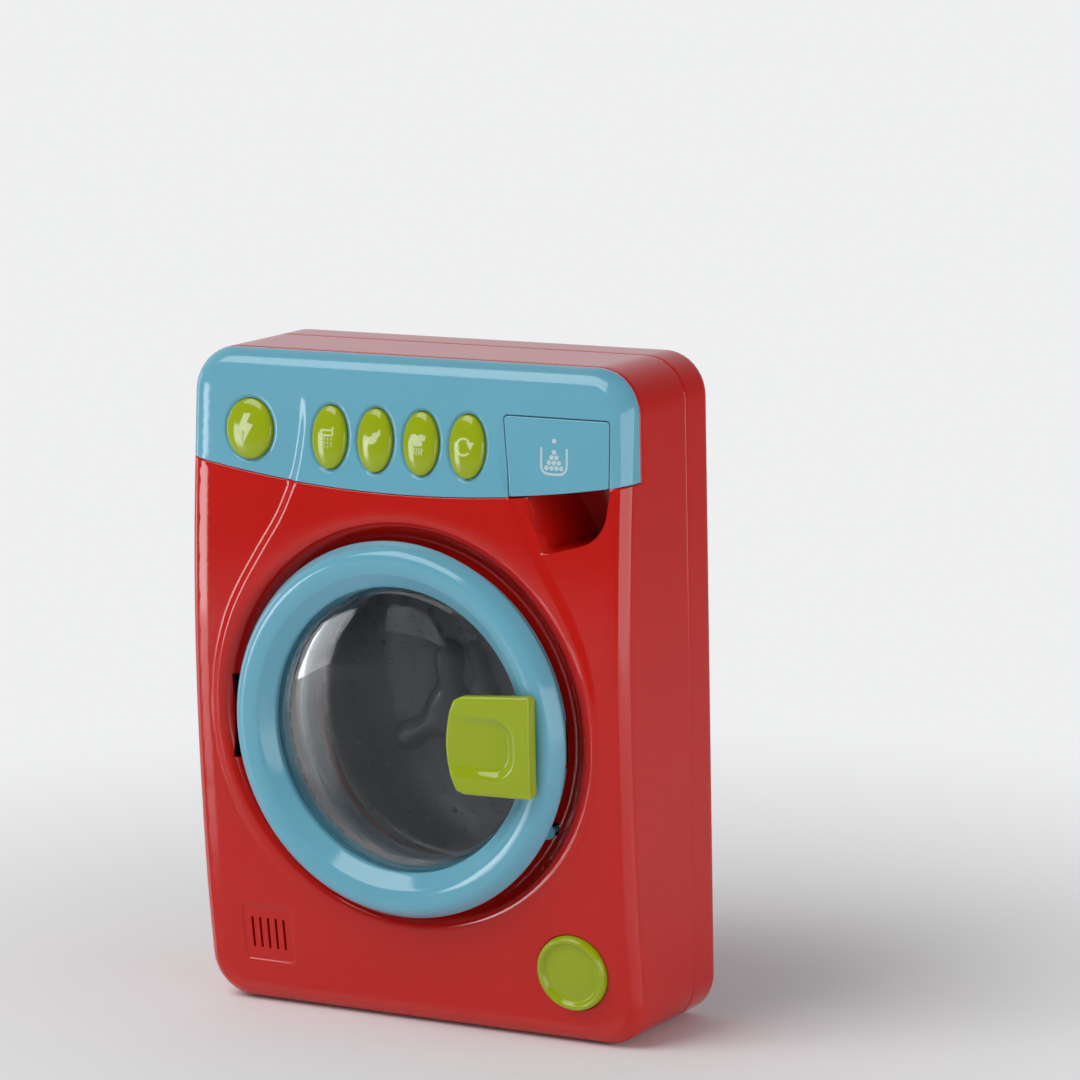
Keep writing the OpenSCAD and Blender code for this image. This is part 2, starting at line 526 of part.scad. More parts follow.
// Tub behind the bowl: wall, back plate, motor shelf and posts for the gear cover.
module drum_tub() color([0.8, 0.8, 0.8]) difference() {
  union() {
    difference() { rod_y(0, zd, 72, -14.5, 16.6, 128); rod_y(0, zd, 70, -16, 14.6, 128); }
    for (b = tub_bolts) difference() {
      hull() { rod_y(b[0], b[1], 4.2, 4.3, 6.3); translate([b[0] * 0.88, 0, zd + (b[1] - zd) * 0.88]) rod_y(0, 0, 5, 4.3, 6.3); }
      rod_y(0, zd, 71, 0, 10, 96);
    }
    along_y(14.6, 16.6) hull() { translate([-42, 169]) circle(r = 16); translate(gear3) circle(r = 13); }
    for (p = posts) rod_y(p[0], p[1], 3.4, 16, 28.4);
  }
  rod_y(0, zd, 5.45, 12, 20);
  rod_y(gear2[0], gear2[1], 1.52, 12, 20);
  rod_y(gear3[0], gear3[1], 3.1, 12, 20);
  for (b = tub_bolts) rod_y(b[0], b[1], 1.6, 0, 10);
  for (p = posts) rod_y(p[0], p[1], 1.1, 20, 30);
}
module gear_cover() color([0.8, 0.8, 0.8]) difference() {
  union() {
    along_y(28.6, 30.6) hull() for (p = concat(posts, [[0, zd], gear2])) translate(p) circle(r = 7);
    rod_y(0, zd, 6, 26, 30.6);
  }
  rod_y(0, zd, 3.06, 25, 32);
  rod_y(gear2[0], gear2[1], 1.54, 25, 32);
  for (p = posts) rod_y(p[0], p[1], 1.5, 25, 32);
}
module cover_screws() color(steel) for (p = posts) screw(p[0], p[1], 22, 30.65, 1, 2.6, 1.5);
module tub_screws() color(steel) for (b = tub_bolts) screw(b[0], b[1], -6, 6.35, 1.2, 3, 1.6);

// Sound.
module speaker() color([0.2, 0.2, 0.22]) difference() {
  union() {
    rod_y(spk[0], spk[1], 17.8, -19.6, -17.4, 64);
    translate([spk[0], -17.4, spk[1]]) rotate([-90, 0, 0]) cylinder(r1 = 16, r2 = 9.6, h = 5, $fn = 64);
    rod_y(spk[0], spk[1], 9, -12.8, -6.4, 48);
  }
  translate([spk[0], -19.7, spk[1]]) rotate([-90, 0, 0]) cylinder(r1 = 15, r2 = 5, h = 4, $fn = 64);
}
module speaker_clamp() color(grey) difference() {
  along_y(-14.9, -13.3) difference() {
    hull() for (x = [-22.5, 22.5]) translate([spk[0] + x * 0.71, spk[1] + abs(x) * 0.71]) circle(r = 3.6);
    translate(spk) circle(r = 12.8);
  }
  for (x = [-22.5, 22.5]) rod_y(spk[0] + x * 0.71, spk[1] + abs(x) * 0.71, 1.4, -18, -10);
}
module speaker_screws() color(steel) for (x = [-22.5, 22.5])
  screw(spk[0] + x * 0.71, spk[1] + abs(x) * 0.71, -20, -13.25, 1, 2.4, 1.4);

module filter_cap() color(green) on_front(cap[0], cap[1]) translate([0, 1.15, 0]) rotate([90, 0, 0]) rotate_extrude($fn = 96)
  polygon([[0, 0], [9.6, 0], [9.6, -5], [12.4, -5], [12.9, -4.2], [12.4, -3.4], [12.4, 0], [15.9, 0], [16, 1.6], [15.5, 3.2], [14.6, 3.9],
    [13.6, 3.7], [12.9, 2.9], [12.4, 2.2], [11, 2.0], [6, 2.4], [0, 2.6]]);
module door_switch() color(dark) {
  box(63.8, 75.8, -8.4, -2.4, 84, 91.6);
  rod_y(65.8, 89, 1.4, -14.8, -8);
}

// Power.
module battery_contacts() color(steel) for (k = [0:2], s = [-1, 1]) let (z = 21 + 18 * k, x = s * 32.9)
  translate([x, 0, z - 5]) linear_extrude(10) polygon([[0, 29], [0, 43], [-s * 0.5, 43], [-s * 0.5, 39.5],
    [-s * 2.6, 36], [-s * 0.5, 32.5], [-s * 0.5, 29]]);
module battery_door() color(red) difference() {
  union() {
    box(-35.3, 35.3, yB - 1.9, yB, 9.7, 66);
    box(-4.7, 4.7, yB - 1.9, yB, 65.5, 76.3);
    for (x = [-19.6, 12.4]) {
      box(x, x + 7.2, yB - 3.8, yB - 2.1, 7.9, 12.6);
      box(x, x + 7.2, yB - 2.2, yB - 1.85, 9.8, 12.6);
    }
    box(-35.3, 35.3, yB - 1.9, yB, 65, 70.3);
  }
  rod_y(0, 72, 1.5, 40, 50);
  rod_y(0, 72, 2.8, yB - 1.02, 50);
  for (k = [-2:2]) box(-12, 12, yB - 0.6, yB + 1, 20 + 3 * k, 21.2 + 3 * k);
}
module battery_door_screw() color(steel) screw(0, 72, 38, yB - 1, 1.1, 2.6, 0.95);
module casing_screws() color(steel) for (b = bosses) screw(b[0], b[1], 12, yS + 9.05, 1.4, 3.2, 1.8);

front_shell();
rear_shell();
control_panel();
drum_tub();
drum();
agitator();
drum_gear();
drum_spindle();
spindle_bush();
double_gear();
double_gear_axle();
motor_pinion();
motor_shaft();
motor();
gear_cover();
door_ring();
door_lens();
door_retainer();
hinge_arms();
hinge_pin();
door_handle();
handle_pin();
latch_spring();
door_screws();
button(pow_x, pow_z, 11.1, 12.6, 0);  // power_button
button(btn_x[0], btn_z, 8.2, 13.1, 0.86);  // button_1
button(btn_x[1], btn_z, 8.2, 13.1, 0.86);  // button_2
button(btn_x[2], btn_z, 8.2, 13.1, 0.86);  // button_3
button(btn_x[3], btn_z, 8.2, 13.1, 0.86);  // button_4
control_board();
key_domes();
panel_screws();
board_screws();
detergent_drawer();
drawer_housing();
housing_screws();
tub_screws();
cover_screws();
speaker();
speaker_clamp();
speaker_screws();
filter_cap();
door_switch();
battery_contacts();
battery_door();
battery_door_screw();
casing_screws();
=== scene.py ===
"""Toy washing machine: smooth moulded pieces, materials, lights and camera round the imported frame."""

import json
import math

import bmesh
import bpy
import numpy as np
from mathutils import Matrix, Vector
from mathutils.geometry import delaunay_2d_cdt


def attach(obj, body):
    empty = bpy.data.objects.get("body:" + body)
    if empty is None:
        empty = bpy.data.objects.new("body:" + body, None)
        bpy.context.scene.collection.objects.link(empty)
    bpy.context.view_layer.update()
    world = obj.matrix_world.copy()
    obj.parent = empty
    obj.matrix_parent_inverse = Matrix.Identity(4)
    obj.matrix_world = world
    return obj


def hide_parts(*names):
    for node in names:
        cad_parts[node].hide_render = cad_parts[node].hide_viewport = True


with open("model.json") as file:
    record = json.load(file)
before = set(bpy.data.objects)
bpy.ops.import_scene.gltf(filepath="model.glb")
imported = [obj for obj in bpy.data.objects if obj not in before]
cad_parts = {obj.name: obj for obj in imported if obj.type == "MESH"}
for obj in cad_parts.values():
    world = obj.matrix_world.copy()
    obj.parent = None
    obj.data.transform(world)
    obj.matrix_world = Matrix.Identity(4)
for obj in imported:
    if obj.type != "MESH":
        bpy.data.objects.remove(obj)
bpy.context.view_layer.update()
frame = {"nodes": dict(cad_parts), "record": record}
MM = 0.001
# The casing's sizes in millimetres: drum height, half width, height, half height, corner and edge radius,
# y of the front at top and base and its bulge, and depth of the styling step.
ZD = 127.0
HALF_W, HEIGHT, MID, CORNER, EDGE_R = 105, 280, 140, 18, 8
FRONT_Y, BULGE, STEP = -20, 10, 1.2
MOUTH_R, NOTCH_LOW, NOTCH_HIGH = 70, 116.8, 136.2
SEAM_FRONT, SEAM_BACK = 25.87, 26.13


# Form of the casing, in millimetres.
def arc(x):
    return 224.4 + 8.8 * (x / 100) ** 2


def yf(z):
    return FRONT_Y - BULGE * (1 - ((z - MID) / MID) ** 2)


def lean(z):
    return math.atan(2 * BULGE * (z - MID) / MID ** 2)


def sstep(t):
    t = np.clip(t, 0, 1)
    return t * t * (3 - 2 * t)


def edge(d, r):
    """Drop of a rounded edge at the distance d from it."""
    q = np.clip(r - d, 0, r)
    return r - np.sqrt(r * r - q * q)


def smax(a, b, k):
    return 0.5 * (a + b + np.sqrt((a - b) ** 2 + k * k))


def rrect(x, z, cx, cz, hx, hz, r):
    """Inward distance from a rounded rectangle."""
    qx, qz = np.abs(x - cx) - (hx - r), np.abs(z - cz) - (hz - r)
    return r - (np.hypot(np.maximum(qx, 0), np.maximum(qz, 0)) + np.minimum(np.maximum(qx, qz), 0))


def inset(x, z):
    return rrect(x, z, 0, MID, HALF_W, MID, CORNER)


def out2d(x, z):
    """Outward direction of the casing's outline."""
    qx, qz = np.abs(x) - (HALF_W - CORNER), np.abs(z - MID) - (MID - CORNER)
    both = (qx > 0) & (qz > 0)
    h = np.hypot(qx, qz) + 1e-9
    nx = np.where(both, qx / h, (qx > qz) * 1.0) * np.sign(x)
    nz = np.where(both, qz / h, (qx <= qz) * 1.0) * np.sign(z - MID)
    return nx, nz


def spline(pts, n=8, closed=False):
    """Smooth curve through the points."""
    p = np.array(pts, float)
    m = len(p)
    out = []
    for i in range(m if closed else m - 1):
        a, b = p[i], p[(i + 1) % m]
        pa = p[i - 1] if closed or i else 2 * a - b
        pb = p[(i + 2) % m] if closed or i + 2 < m else 2 * b - a
        for t in np.arange(n) / n:
            out.append(0.5 * (2 * a + (b - pa) * t + (2 * pa - 5 * a + 4 * b - pb) * t * t
                              + (3 * a - pa - 3 * b + pb) * t ** 3))
    if not closed:
        out.append(p[-1])
    return np.array(out)


def dense(pts, step, closed=True):
    """Points no further apart than step along a polygon."""
    p = np.array(pts, float)
    out = []
    for i in range(len(p) if closed else len(p) - 1):
        a, b = p[i], p[(i + 1) % len(p)]
        n = max(1, int(math.ceil(np.linalg.norm(b - a) / step)))
        out += [a + (b - a) * k / n for k in range(n)]
    if not closed:
        out.append(p[-1])
    return np.array(out)


def circle(cx, cz, r, n, rz=None):
    a = np.arange(n) * 2 * math.pi / n
    return np.stack([cx + r * np.cos(a), cz + (rz or r) * np.sin(a)], 1)


def rounded(pts, r, n=5):
    """Polygon with rounded corners; r is one radius or one for each corner."""
    p = np.array(pts, float)
    m = len(p)
    rs = [r] * m if np.isscalar(r) else r
    out = []
    for i in range(m):
        a, b, c = p[i - 1], p[i], p[(i + 1) % m]
        u, v = (a - b) / np.linalg.norm(a - b), (c - b) / np.linalg.norm(c - b)
        half = math.acos(max(-1, min(1, float(u @ v)))) / 2
        if rs[i] <= 0 or half > 1.54:
            out.append(b)
            continue
        t = rs[i] / math.tan(half)
        o = b + (u + v) / np.linalg.norm(u + v) * (rs[i] / math.sin(half))
        s, e = b + u * t - o, b + v * t - o
        w = math.acos(max(-1, min(1, float(s @ e) / rs[i] ** 2)))
        for k in range(n + 1):
            f = k / n
            out.append(o + (s * math.sin((1 - f) * w) + e * math.sin(f * w)) / math.sin(w))
    return np.array(out)


def shifted(path, d, closed=True):
    """The path moved sideways by d, to the left of its direction."""
    p = np.array(path, float)
    if closed:
        t = np.roll(p, -1, 0) - np.roll(p, 1, 0)
    else:
        t = np.gradient(p, axis=0)
    t /= np.linalg.norm(t, axis=1)[:, None] + 1e-12
    return p + d * np.stack([-t[:, 1], t[:, 0]], 1)


def sdist(x, z, poly):
    """Distance from a closed polygon, positive inside."""
    best = np.full(x.shape, 1e9)
    odd = np.zeros(x.shape, bool)
    for i in range(len(poly)):
        (ax, az), (bx, bz) = poly[i - 1], poly[i]
        dx, dz = bx - ax, bz - az
        t = np.clip(((x - ax) * dx + (z - az) * dz) / (dx * dx + dz * dz + 1e-12), 0, 1)
        best = np.minimum(best, (x - ax - t * dx) ** 2 + (z - az - t * dz) ** 2)
        if az != bz:
            odd ^= ((az > z) != (bz > z)) & (x < dx * (z - az) / dz + ax)
    return np.sqrt(best) * np.where(odd, 1, -1)


def tri2d(outer, holes=(), rows=(), points=()):
    """Triangles inside the outer loop and outside the holes, along every given row."""
    co, ed = [], []
    for line, closed in [(outer, 1)] + [(h, 1) for h in holes] + list(rows):
        b, n = len(co), len(line)
        co += [Vector((float(q[0]), float(q[1]))) for q in line]
        ed += [(b + i, b + (i + 1) % n) for i in range(n if closed else n - 1)]
    co += [Vector((float(q[0]), float(q[1]))) for q in points]
    v, _, f, _, _, _ = delaunay_2d_cdt(co, ed, [], 0, 1e-5)
    v = np.array([tuple(q) for q in v])
    f = np.array([t for t in f if len(t) == 3])
    c = v[f].mean(1)
    keep = sdist(c[:, 0], c[:, 1], outer) > 0
    for h in holes:
        keep &= sdist(c[:, 0], c[:, 1], h) < 0
    f = f[keep]
    used = np.unique(f)
    back = np.full(len(v), -1)
    back[used] = np.arange(len(used))
    return v[used], back[f]


def lattice(outer, step, away, near):
    """Even points inside the outer loop that keep away from the given rows."""
    lo, hi = np.min(outer, 0), np.max(outer, 0)
    g = []
    for j, z in enumerate(np.arange(lo[1] + step * 0.5, hi[1], step * 0.866)):
        g += [(x + (j % 2) * step / 2, z) for x in np.arange(lo[0] + step * 0.3, hi[0], step)]
    g = np.array(g)
    g = g[sdist(g[:, 0], g[:, 1], outer) > near]
    cell = {}
    for q in away:
        cell.setdefault((int(q[0] // 4), int(q[1] // 4)), []).append(q)
    keep = []
    for q in g:
        a, b = int(q[0] // 4), int(q[1] // 4)
        ns = [r for i in (-1, 0, 1) for j in (-1, 0, 1) for r in cell.get((a + i, b + j), ())]
        if not ns or ((np.array(ns) - q) ** 2).sum(1).min() > near * near:
            keep.append(q)
    return np.array(keep)


def grid(a, cu=False, cv=False):
    """Quads over an array of points m x n x 3."""
    a = np.asarray(a, float)
    m, n = a.shape[:2]
    f = [(i * n + j, i * n + (j + 1) % n, (i + 1) % m * n + (j + 1) % n, (i + 1) % m * n + j)
         for i in range(m if cu else m - 1) for j in range(n if cv else n - 1)]
    return a.reshape(-1, 3), f


def skirt(loop, move, closed=True):
    """Wall from a loop of points to the same loop moved."""
    l = np.asarray(loop, float)
    return grid(np.stack([l, l + np.asarray(move, float)]), cv=closed)


def turned(profile, n):
    """Surface of revolution about the drum axis from radius and y."""
    p = np.asarray(profile, float)
    a = np.radians(np.linspace(0, 360, n, endpoint=False))
    g = np.stack([p[:, 0][:, None] * np.cos(a), np.repeat(p[:, 1][:, None], len(a), 1),
                  ZD + p[:, 0][:, None] * np.sin(a)], 2)
    return grid(g, cv=True)


def make(name, parts, material, body, replaces=(), sharp=38, weld=2e-3, bevel=0.0, outward=None, place=None):
    """One mesh piece from several lists of points and faces."""
    co, fs = [], []
    for v, f in parts:
        b = len(co)
        co += [tuple(q) for q in np.asarray(v, float) * MM]
        fs += [tuple(int(i) + b for i in t) for t in f]
    me = bpy.data.meshes.new(name)
    me.from_pydata(co, [], fs)
    bm = bmesh.new()
    bm.from_mesh(me)
    bmesh.ops.remove_doubles(bm, verts=bm.verts, dist=weld * MM)
    bmesh.ops.dissolve_degenerate(bm, dist=1e-7, edges=bm.edges)
    bmesh.ops.recalc_face_normals(bm, faces=bm.faces)
    if outward is not None:
        o = Vector(outward) * MM
        s = sum((f.calc_center_median() - o).dot(f.normal) * f.calc_area() for f in bm.faces)
        if s < 0:
            bmesh.ops.reverse_faces(bm, faces=bm.faces)
    if bevel:
        es = [e for e in bm.edges if len(e.link_faces) == 2 and e.calc_face_angle(0) > 0.6]
        bmesh.ops.bevel(bm, geom=es, offset=bevel * MM, segments=2, profile=0.6, affect="EDGES", clamp_overlap=True)
    for f in bm.faces:
        f.smooth = True
    for e in bm.edges:
        e.smooth = len(e.link_faces) == 2 and e.calc_face_angle(0) < math.radians(sharp)
    bm.to_mesh(me)
    bm.free()
    o = bpy.data.objects.new(name, me)
    bpy.context.scene.collection.objects.link(o)
    if place is not None:
        me.transform(place)
    me.materials.append(material)
    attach(o, body)
    if replaces:
        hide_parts(*replaces)
    return o


# Materials.
def srgb(r, g, b):
    return tuple(((c / 255 + 0.055) / 1.055) ** 2.4 if c > 10 else c / 255 / 12.92 for c in (r, g, b)) + (1,)


WORLD_FRONT, WORLD_BACK = 0.15, 0.72
BACKDROP = (0.86, 0.865, 0.87, 1)


def plastic(name, rgb, rough=0.16, spread=0.05, grain=0.012, size=900, tone=0.05, ior=1.5, metal=0.0):
    """Moulded plastic: slightly uneven colour and gloss, and a faint orange-peel skin."""
    m = bpy.data.materials.new(name)
    m.use_nodes = True
    nt = m.node_tree
    n, l = nt.nodes, nt.links
    p = n["Principled BSDF"]
    tc = n.new("ShaderNodeTexCoord")
    big = n.new("ShaderNodeTexNoise")
    big.inputs["Scale"].default_value = 22
    big.inputs["Detail"].default_value = 3
    ramp = n.new("ShaderNodeMix")
    ramp.data_type = "RGBA"
    c = srgb(*rgb)
    ramp.inputs["A"].default_value = tuple(q * (1 - tone) for q in c[:3]) + (1,)
    ramp.inputs["B"].default_value = tuple(min(1, q * (1 + tone)) for q in c[:3]) + (1,)
    l.new(tc.outputs["Object"], big.inputs["Vector"])
    l.new(big.outputs["Fac"], ramp.inputs["Factor"])
    l.new(ramp.outputs["Result"], p.inputs["Base Color"])
    mid = n.new("ShaderNodeTexNoise")
    mid.inputs["Scale"].default_value = 140
    mid.inputs["Detail"].default_value = 4
    rr = n.new("ShaderNodeMapRange")
    rr.inputs["To Min"].default_value = rough - spread
    rr.inputs["To Max"].default_value = rough + spread
    l.new(tc.outputs["Object"], mid.inputs["Vector"])
    l.new(mid.outputs["Fac"], rr.inputs["Value"])
    l.new(rr.outputs["Result"], p.inputs["Roughness"])
    fine = n.new("ShaderNodeTexNoise")
    fine.inputs["Scale"].default_value = size
    fine.inputs["Detail"].default_value = 2
    bump = n.new("ShaderNodeBump")
    bump.inputs["Strength"].default_value = grain
    bump.inputs["Distance"].default_value = 0.001
    l.new(tc.outputs["Object"], fine.inputs["Vector"])
    l.new(fine.outputs["Fac"], bump.inputs["Height"])
    l.new(bump.outputs["Normal"], p.inputs["Normal"])
    p.inputs["IOR"].default_value = ior
    p.inputs["Metallic"].default_value = metal
    return m


RED = plastic("red_abs", (192, 20, 10), rough=0.075, spread=0.015)
BLUE = plastic("blue_abs", (106, 171, 192), rough=0.1, spread=0.02)
GREEN = plastic("green_abs", (152, 170, 14), rough=0.1, spread=0.02)
DARK = plastic("charcoal_abs", (44, 48, 56), rough=0.22)
GREY = plastic("grey_abs", (120, 122, 124), rough=0.4)
WHITE = plastic("white_acetal", (222, 220, 210), rough=0.4)
RUBBER = plastic("key_rubber", (205, 205, 198), rough=0.6, grain=0.05)
BOARD = plastic("board_lacquer", (28, 84, 48), rough=0.35)
STEEL = plastic("plated_steel", (190, 190, 192), rough=0.28, metal=1.0)
BRASS = plastic("brass_turned", (205, 170, 95), rough=0.3, metal=1.0)
PRINT_G = plastic("button_print", (200, 212, 150), rough=0.3)
PRINT_B = plastic("drawer_print", (186, 204, 208), rough=0.3)
CLEAR = plastic("clear_styrene", (246, 250, 252), rough=0.03, spread=0.012, grain=0.004, size=60,
                tone=0.004)
CLEAR.node_tree.nodes["Principled BSDF"].inputs["Transmission Weight"].default_value = 1.0
CLEAR.node_tree.nodes["Principled BSDF"].inputs["Alpha"].default_value = 0.4

BY_SLOT = {"red_plastic": RED, "blue_plastic": BLUE, "green_plastic": GREEN, "charcoal_plastic": DARK,
           "grey_plastic": GREY,
           "white_plastic": WHITE, "rubber": RUBBER, "board": BOARD, "steel": STEEL, "brass": BRASS,
           "clear_plastic": CLEAR}
for sub in frame["record"]["subparts"]:
    node = frame["nodes"].get(sub.get("node") or sub.get("name"))
    if node is None:
        continue
    slot = sub.get("material_slot")
    node.data.materials.clear()
    node.data.materials.append(BY_SLOT.get(slot, GREY))
    w = node.modifiers.new("weld", "WELD")
    w.merge_threshold = 5e-6
    b = node.modifiers.new("edges", "BEVEL")
    b.width, b.segments, b.limit_method, b.angle_limit = 0.00022, 2, "ANGLE", math.radians(40)
    b.harden_normals = False

# Surface of the casing. The middle zone stands proud, and the flanks outside the crease lie lower.
CREASE = [(48.5, 263), (48.4, 250), (50.0, 238), (52.6, 227), (59.1, 212.1), (68.2, 197.8), (77.2, 183.4),
          (83.7, 170.9),
          (88.1, 158.4), (90.8, 146), (92, 134)]
side = spline(CREASE, 5)
low = circle(0, ZD, 92, 120)
low = low[(low[:, 1] < 127) & (low[:, 0] > 0)]
low = low[np.argsort(-low[:, 1])]
right = np.vstack([side, low])
left = right[::-1] * [-1, 1]
near = spline([(46.3, 263), (46.3, 250), (47.8, 238), (50.5, 229), (54.2, 221), (59.1, 212.1)] + CREASE[5:], 5)
right_v = np.vstack([near, low])
ZONE = np.vstack([right_v, left])
STEP_W = 3.4


def depth(z):
    """How far the flanks lie behind the middle zone."""
    return STEP * np.clip((264 - z) / 25, 0, 1) * np.clip((z - 48) / 40, 0, 1)


def surf(x, z):
    """y of the front, with its rounded edge and the step."""
    q = np.clip(EDGE_R - inset(x, z), 0, EDGE_R) / EDGE_R
    d = depth(z) * (1 - sstep(sdist(x, z, ZONE) / STEP_W + 0.5))
    return yf(z) + d + (EDGE_R - d) * (1 - np.sqrt(1 - q * q))


BOWL = spline([(66, -16.8), (70, -17), (74, -17.5), (77, -18.6), (79.5, -20.2), (81.7, -22.4), (83.7, -25),
               (86, -27.6), (89.5, -30.6), (95, -35.2)], 6)
WALL_S = np.vstack([[(36, 196)], spline([(64.6, 203.6), (73.5, 206), (85.5, 209.3), (90, 211.6), (93.4, 215),
                                         (95.8, 219.7), (96.8, 226)], 6), [(96.8, 300), (36, 300)]])
SPK, CAP = (-72.5, 31.0), (76.0, 31.0)
POCKET_Y = 6.0
I0 = EDGE_R * (1 - math.sin(math.radians(22.5)))


def left_edge(z):
    """x of the drawer's slanting left edge."""
    return 47.8 + (259.6 - z) * 4.1 / 39.6


def shell_y(x, z):
    """y of the red front: bowl, finger pocket, sound panel and seat of the cap."""
    y = surf(x, z)
    y0 = y
    r = np.hypot(x, z - ZD)
    yb = np.interp(r, BOWL[:, 0], BOWL[:, 1]) - np.maximum(r - 95, 0) * 2
    y = smax(y, yb, 1.7)
    y = np.where(r < 72, y + edge(r - 70, 0.9), y)
    xi = 0.891 * (x - 51.6) + 0.454 * (z - 228)
    ramp = -29.8 + (xi + 0.4) * 0.9655 + 26 * sstep((xi - 5.5) / 5.5)
    deep = smax(np.minimum(ramp, POCKET_Y), y0, 0.9)
    share = sstep(sdist(x, z, WALL_S) / 1.3 + 0.1)
    y = np.where((x > 44) & (z > 196) & (xi > -6), np.maximum(y, y0 + (deep - y0) * share), y)
    way = (z > arc(x) - 0.46) & (x > left_edge(z) - 0.6) & (x < 97.4)
    y = np.where(way, np.maximum(y, -13.1), y)
    y = y + 0.7 * sstep(rrect(x, z, SPK[0], SPK[1], 12.6, 12.6, 2.6) / 0.9)
    rc = np.hypot(x - CAP[0], (z - CAP[1]) * 1.006)
    return y + 1.2 * sstep((16.5 - rc) / 0.35)


def drop(x, y, z, n, e):
    """Moves points inwards along n by e."""
    return np.stack([x - n[0] * e, y - n[1] * e, z - n[2] * e], -1)


def on_skin(x, y, z, e):
    """Points of the front field, lowered by e along the normal of the rounded edge."""
    s = np.clip((EDGE_R - inset(x, z)) / EDGE_R, 0, 1)
    nx, nz = out2d(x, z)
    return drop(x, y, z, (nx * s, -np.sqrt(1 - s * s), nz * s), e)


def outline(i, rows):
    """Right half of the casing's outline inset by i: base, low corner, side, high corner and top.
    rows are heights on the straight side."""
    r, cx, cz = CORNER - i, HALF_W - CORNER, HEIGHT - CORNER
    turn = np.radians(np.linspace(0, 90, 11))
    base = [(x, i) for x in np.linspace(0, cx, 23)[:-1]]
    c0 = [(cx + r * math.sin(a), CORNER - r * math.cos(a)) for a in turn]
    s = [(HALF_W - i, z) for z in rows]
    c1 = [(cx + r * math.cos(a), cz + r * math.sin(a)) for a in turn]
    top = [(x, HEIGHT - i) for x in np.linspace(cx, 0, 23)[1:]]
    return base, c0, s, c1, top


FILLET = np.radians(np.linspace(22.5, 90, 10))


def strip(halfs, ys, e_of):
    """Rounded edge and side wall. halfs(i) gives x, z of a ring inset by i; ys are the y values behind the edge."""
    rings = []
    for a in FILLET:
        p = halfs(EDGE_R * (1 - math.sin(a)))
        x, z = p[:, 0], p[:, 1]
        d = depth(z) * (np.abs(x) > 60)
        y = yf(z) + d + (EDGE_R - d) * (1 - math.cos(a))
        nx, nz = out2d(x, z)
        s = math.sin(a)
        rings.append(drop(x, y, z, (nx * s, np.full_like(x, -math.cos(a)), nz * s), e_of(x, y, z)))
    p = halfs(0.0)
    x, z = p[:, 0], p[:, 1]
    nx, nz = out2d(x, z)
    y0 = yf(z) + EDGE_R
    for yy in ys:
        y = y0 + (-12 - y0) * yy[0] if isinstance(yy, tuple) else np.full_like(x, yy)
        rings.append(drop(x, y, z, (nx, np.zeros_like(x), nz), e_of(x, y, z)))
    return rings


def both(f):
    """Adds the mirror image to a list of parts."""
    out = []
    for v, t in f:
        out += [(v, t), (np.asarray(v) * [-1, 1, 1], t)]
    return out


# Red front shell.
def red_e(x, y, z):
    up = np.maximum(arc(x) - 0.1 - z, 0)
    d = np.where(y > -11.8, np.hypot(up, y + 11.8), up)
    return edge(d, 0.45) + edge(SEAM_FRONT - y, 0.5)


def red_rows(x):
    zb = arc(x) - 0.1
    return np.concatenate([np.linspace(18, 224, 52)[1:],
                           224 + (zb - 224) * np.array([0.4, 0.75, 0.9, 0.955, 0.985, 1.0])])


def red_low(i):
    b, c0, s, _, _ = outline(i, red_rows(HALF_W - i))
    return np.array(b + c0 + s)


def red_high(i):
    zb = arc(HALF_W - i) - 0.1
    _, _, s, c1, top = outline(i, list(zb + (HEIGHT - CORNER - zb)
                                       * np.concatenate([[0, 0.006, 0.02], np.linspace(0.08, 0.92, 7)])))
    return np.array(s + c1 + top)


BACK = [-11.8, -11.72, -11.6, -11.35, -9, -4, 1, 6, 11, 16, 21, 25, 25.4, 25.6, 25.75, 25.84, SEAM_FRONT]
MIDDLE = [(k,) for k in (0.25, 0.5, 0.75)]
low_r = strip(red_low, MIDDLE + BACK, red_e)
high_r = []
p = red_high(0.0)
nx, nz = out2d(p[:, 0], p[:, 1])
for yy in BACK:
    y = np.full(len(p), float(yy))
    high_r.append(drop(p[:, 0], y, p[:, 1], (nx, np.zeros(len(p)), nz), red_e(p[:, 0], y, p[:, 1])))
parts = both([grid(low_r), grid(high_r)])
# Edge returns: back rim, and the rim under the panel.
rim = np.array(low_r[-1])
parts += both([grid([rim, rim * [0.982, 1, 1]]), grid([high_r[-1], np.array(high_r[-1]) * [0.982, 1, 0.992]])])
parts += both([grid([high_r[0], np.array(high_r[0]) * [0.985, 1, 0.99]])])

halfring = red_low(I0)
xl = left_edge(226.6) - 0.6
seg_l = [(x, arc(x) - 0.1) for x in np.linspace(-(HALF_W - I0), xl, 122)]
seg_w = [(left_edge(z) - 0.6, z) for z in (227.5, 229, 230.7)] + [(x, 230.7) for x in np.arange(51.5, 84, 1.5)]
seg_w += [(x, max(230.7, arc(x) - 0.5)) for x in np.linspace(85, 97.4, 9)]
seg_r = [(x, arc(x) - 0.1) for x in (97.4, 98.2, 99.1, HALF_W - I0)]
ring_r = halfring[::-1]
ring_l = halfring[1:] * [-1, 1]
outer = np.vstack([seg_l, seg_w, seg_r[:-1], ring_r, ring_l[:-1]])
mouth = []
for a in np.radians(np.arange(0, 360, 1.5)):
    x, z = MOUTH_R * math.cos(a), ZD + MOUTH_R * math.sin(a)
    if not (x > 60 and NOTCH_LOW < z < NOTCH_HIGH):
        mouth.append((x, z))
k = next(i for i, q in enumerate(mouth) if q[1] > NOTCH_HIGH and q[0] > 0)
notch = dense([(69.25, NOTCH_LOW), (72, NOTCH_LOW), (72, NOTCH_HIGH), (69.39, NOTCH_HIGH)], 1.4, False)
mouth = np.vstack([mouth[k:], mouth[:k], notch]) if k else np.vstack([mouth, notch])
